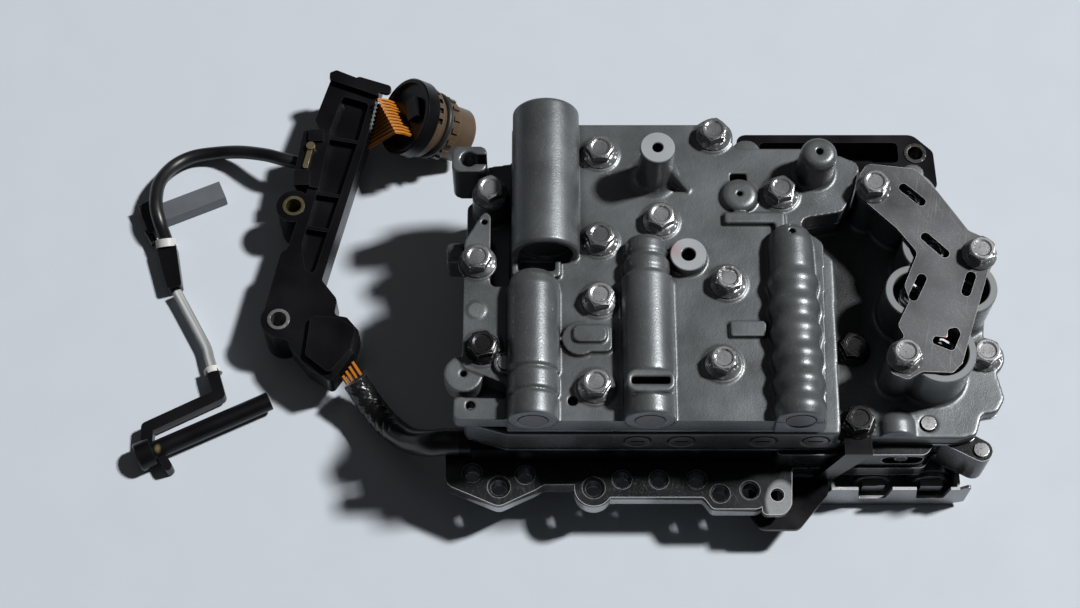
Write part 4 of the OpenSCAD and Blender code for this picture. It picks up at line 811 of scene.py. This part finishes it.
@dataclass
class Edges:
    """Rounded edges of the rigid pieces, made by live modifiers."""

    merge: float = 0.002
    sharp_deg: float = 34.0
    segments: int = 2
    smoothing: float = 0.5

    def weld(self, solid: bpy.types.Object) -> None:
        """Joins the loose triangles of a solid."""
        weld = solid.modifiers.new("weld", "WELD")
        weld.merge_threshold = self.merge * MM

    def cast(self, solid: bpy.types.Object, grid: float, passes: int, keep: float) -> None:
        """Gives a casting soft edges and blended corners.

        Args:
            solid: The casting.
            grid: Size of the new faces.
            passes: How many times the surface is smoothed.
            keep: Share of the faces that is kept, where flat areas need fewer.
        """
        self.weld(solid)
        remesh = solid.modifiers.new("cast skin", "REMESH")
        remesh.mode = "VOXEL"
        remesh.voxel_size = grid * MM
        remesh.use_smooth_shade = True
        smooth = solid.modifiers.new("cast edges", "SMOOTH")
        smooth.factor = self.smoothing
        smooth.iterations = passes
        thin = solid.modifiers.new("fewer faces", "DECIMATE")
        thin.ratio = keep

    def machined(self, solid: bpy.types.Object, width: float) -> None:
        """Breaks the sharp edges of a machined or moulded piece.

        Args:
            solid: The piece.
            width: Width of the broken edges.
        """
        self.weld(solid)
        bevel = solid.modifiers.new("broken edges", "BEVEL")
        bevel.width = width * MM
        bevel.segments = self.segments
        bevel.limit_method = "ANGLE"
        bevel.angle_limit = math.radians(self.sharp_deg)
        bevel.use_clamp_overlap = True
        normals = solid.modifiers.new("flat faces", "WEIGHTED_NORMAL")
        normals.keep_sharp = False


@dataclass
class Castings:
    """The three die-cast bodies. A soft one has the size of its faces and the share kept."""

    soft: tuple[tuple[str, float, float], ...] = (
        ("upper_valve_body", 0.5, 0.27), ("middle_valve_body", 0.7, 0.4))
    passes: int = 3
    milled: str = "lower_valve_body"
    milled_edge: float = 0.6

    def build(self, nodes: dict[str, bpy.types.Object]) -> None:
        """Dresses the castings: two with soft edges, and the lower one milled all over.

        Args:
            nodes: Solids by name.
        """
        for name, grid, keep in self.soft:
            Wardrobe.dress(nodes[name], CAST)
            Edges().cast(nodes[name], grid, self.passes, keep)
            LOG.info("%s dressed", name)
        Wardrobe.dress(nodes[self.milled], MILLED)
        Edges().machined(nodes[self.milled], self.milled_edge)
        LOG.info("%s dressed", self.milled)


@dataclass
class Faces:
    """Bright turned faces on the tops of the cast posts and the accumulators' rims.

    A face is the centre of its top, its inner radius and its outer radius.
    """

    posts: tuple[tuple[float, ...], ...] = (
        (-27.6, 44.0, 95.0, 2.2, 6.9), (-15.1, 6.1, 75.0, 2.9, 7.3),
        (76.0, 34.0, 72.0, 9.2, 12.2), (84.0, 11.0, 72.0, 9.2, 12.2), (75.0, -9.0, 72.0, 8.5, 11.5),
        (97.0, -7.0, 72.0, 8.5, 11.5), (84.0, -35.0, 72.0, 10.5, 13.5))
    skin: float = 0.12
    depth: float = 0.7
    chamfer: float = 0.3

    def build(self) -> bpy.types.Object:
        """Makes the faces as rings with a small chamfer, seated in the posts' tops.

        Returns:
            The piece with all the faces.
        """
        posts = np.array(self.posts)
        inner, outer = posts[:, 3:4], posts[:, 4:5]
        radius = np.hstack([inner, outer, outer, outer - self.chamfer, inner + self.chamfer, inner])
        low, brim, top = -self.depth, self.skin - self.chamfer, self.skin
        height = np.broadcast_to([low, low, brim, top, top, brim], radius.shape)
        piece = Mesher.lathe("post_faces", np.stack([radius, height], -1) * MM, posts[:, :3] * MM)
        Wardrobe.dress(piece, FACED)
        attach(piece, HOUSING)
        LOG.info("%s made", piece.name)
        return piece


class Hardware:
    """Every other rigid piece: its finish, and the width of its broken edges."""

    BY_SLOT: ClassVar[dict[str, tuple[Finish, float]]] = {
        "plate_steel": (PLATE, 0.15), "pressed_steel": (PRESSED, 0.3), "black_plastic": (BLACK, 0.5),
        "zinc_steel": (ZINC, 0.3), "oiled_steel": (OILED, 0.3), "turned_aluminium": (TURNED, 0.3),
        "ball_steel": (BALL, 0.0), "solenoid_steel": (CAN, 0.4), "bush_brass": (BRASS, 0.3),
        "brown_plastic": (BROWN, 0.4), "seal_rubber": (SEAL, 0.0), "orange_wire": (ORANGE, 0.0),
        "grey_plastic": (GREY, 0.4), "band_white": (WHITE, 0.3)}
    BY_NODE: ClassVar[dict[str, tuple[Finish, float]]] = {
        "long_bolts": (LONG, 0.3), "upper_bore_plugs": (PLUG, 0.3), "middle_bore_plugs": (PLUG, 0.3)}

    def build(self, nodes: dict[str, bpy.types.Object], slots: dict[str, str]) -> None:
        """Dresses each solid by its own finish, or else by its slot in the record.

        Args:
            nodes: Solids by name.
            slots: Material slot of each solid.
        """
        for name, solid in nodes.items():
            if name not in self.BY_NODE and slots[name] not in self.BY_SLOT:
                continue
            finish, width = self.BY_NODE.get(name) or self.BY_SLOT[slots[name]]
            Wardrobe.dress(solid, finish)
            if width:
                Edges().machined(solid, width)
            LOG.info("%s dressed", name)


@dataclass
class Springs:
    """Copies of the coil springs that a valve or a piston pushes on."""

    merge: float = 0.002
    axes: str = "xyz"

    def build(self, nodes: dict[str, bpy.types.Object], joints: list[dict]) -> None:
        """Puts a copy of each spring in its place and hides the spring; the two ends that it finds are not
        used.

        Args:
            nodes: Solids by name.
            joints: The record's joints, with the springs that each one shortens.
        """
        for joint in joints:
            for row in joint.get("deforming_nodes", []):
                held, pushed = self.ends(row)
                piece = self.copy(nodes[row["node"]])
                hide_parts(row["node"])
                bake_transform(piece)
                LOG.info("%s made", piece.name)

    def ends(self, row: dict) -> tuple[list[float], list[float]]:
        """Finds the two ends of a spring on its axis.

        Args:
            row: The record's row of a spring: its node, its axis and its fixed end.

        Returns:
            The middle of the fixed end and that of the pushed end, in metres.
        """
        letter = row["mode"][-1]
        index = self.axes.index(letter)
        low, high = np.array(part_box(row["node"]))
        held, pushed = (low + high) / 2, (low + high) / 2
        held[index] = row[f"fixed_end_{letter}_m"]
        low_is_far = abs(low[index] - held[index]) > abs(high[index] - held[index])
        pushed[index] = low[index] if low_is_far else high[index]
        return held.tolist(), pushed.tolist()

    def copy(self, solid: bpy.types.Object) -> bpy.types.Object:
        """Copies a spring's mesh with its loose triangles joined.

        Args:
            solid: The spring's solid.

        Returns:
            The new piece, with the spring's finish.
        """
        mesh = solid.data.copy()
        work = bmesh.new()
        work.from_mesh(mesh)
        bmesh.ops.remove_doubles(work, verts=work.verts, dist=self.merge * MM)
        work.to_mesh(mesh)
        work.free()
        piece = Mesher.link(f"{solid.name}_coil", mesh)
        Wardrobe.dress(piece, SPRING)
        return piece


@dataclass
class Studio:
    """Floor, lamps, world and camera. The camera takes a frame of 1080 by 608."""

    aim: Point = (-74.8, -13.7, 70.0)
    distance: float = 760.0
    elevation_deg: float = 65.0
    lens: float = 63.3
    sensor: float = 36.0
    floor_half: float = 4000.0
    lit: Point = (-74.8, -13.7, 28.0)
    key_from: Point = (4690.0, 1430.0, 6270.0)
    key_size: float = 700.0
    key_power: float = 770.0
    fill_from: Point = (-300.0, 200.0, 1300.0)
    fill_size: float = 1200.0
    fill_power: float = 0.25
    world_colour: Colour = (0.9, 0.95, 1.0)
    world_level: float = 0.026

    def build(self) -> None:
        """Makes the whole studio."""
        self.floor()
        self.lamps()
        self.camera()
        LOG.info("studio made")

    def floor(self) -> None:
        """Lays a wide pale floor under the part."""
        half = self.floor_half * MM
        corners = [(-half, -half, 0), (half, -half, 0), (half, half, 0), (-half, half, 0)]
        mesh = bpy.data.meshes.new("floor")
        mesh.from_pydata(corners, [], [(0, 1, 2, 3)])
        floor = Mesher.link("floor", mesh)
        Wardrobe.dress(floor, FLOOR)

    def lamps(self) -> None:
        """Hangs a key lamp at the right and rear, a broad fill above, and a grey world."""
        for name, offset, size, power in (
                ("key", self.key_from, self.key_size, self.key_power),
                ("fill", self.fill_from, self.fill_size, self.fill_power)):
            light = bpy.data.lights.new(name, "AREA")
            light.size = size * MM
            light.energy = power
            lamp = bpy.data.objects.new(name, light)
            lamp.location = (np.array(self.lit) + np.array(offset)) * MM
            aim = -np.array(offset) / np.linalg.norm(offset)
            lamp.rotation_euler = (math.acos(-aim[2]), 0.0, math.atan2(aim[1], aim[0]) - math.pi / 2)
            bpy.context.scene.collection.objects.link(lamp)
        world = bpy.data.worlds.new("studio")
        world.use_nodes = True
        background = world.node_tree.nodes["Background"]
        background.inputs["Color"].default_value = opaque(self.world_colour)
        background.inputs["Strength"].default_value = self.world_level
        bpy.context.scene.world = world
        bpy.context.scene.view_settings.view_transform = "Standard"

    def camera(self) -> None:
        """Sets the camera above the front, looking down."""
        data = bpy.data.cameras.new("camera")
        data.lens = self.lens
        data.sensor_width = self.sensor
        camera = bpy.data.objects.new("camera", data)
        tilt = math.radians(self.elevation_deg)
        back = np.array([0.0, -math.cos(tilt), math.sin(tilt)]) * self.distance
        camera.location = (np.array(self.aim) + back) * MM
        camera.rotation_euler = (math.pi / 2 - tilt, 0.0, 0.0)
        bpy.context.scene.collection.objects.link(camera)
        bpy.context.scene.camera = camera


def main() -> None:
    """Builds the looks in order."""
    logging.basicConfig(level=logging.INFO)
    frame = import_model()
    slots = {row["node"]: row["material_slot"] for row in frame["record"]["subparts"]}
    Studio().build()
    for cord in Harness().build():
        LOG.info("%s made", cord.name)
    Castings().build(frame["nodes"])
    Faces().build()
    Hardware().build(frame["nodes"], slots)
    Springs().build(frame["nodes"], frame["record"]["behaviour"]["joints"])


if __name__ == "__main__":
    main()
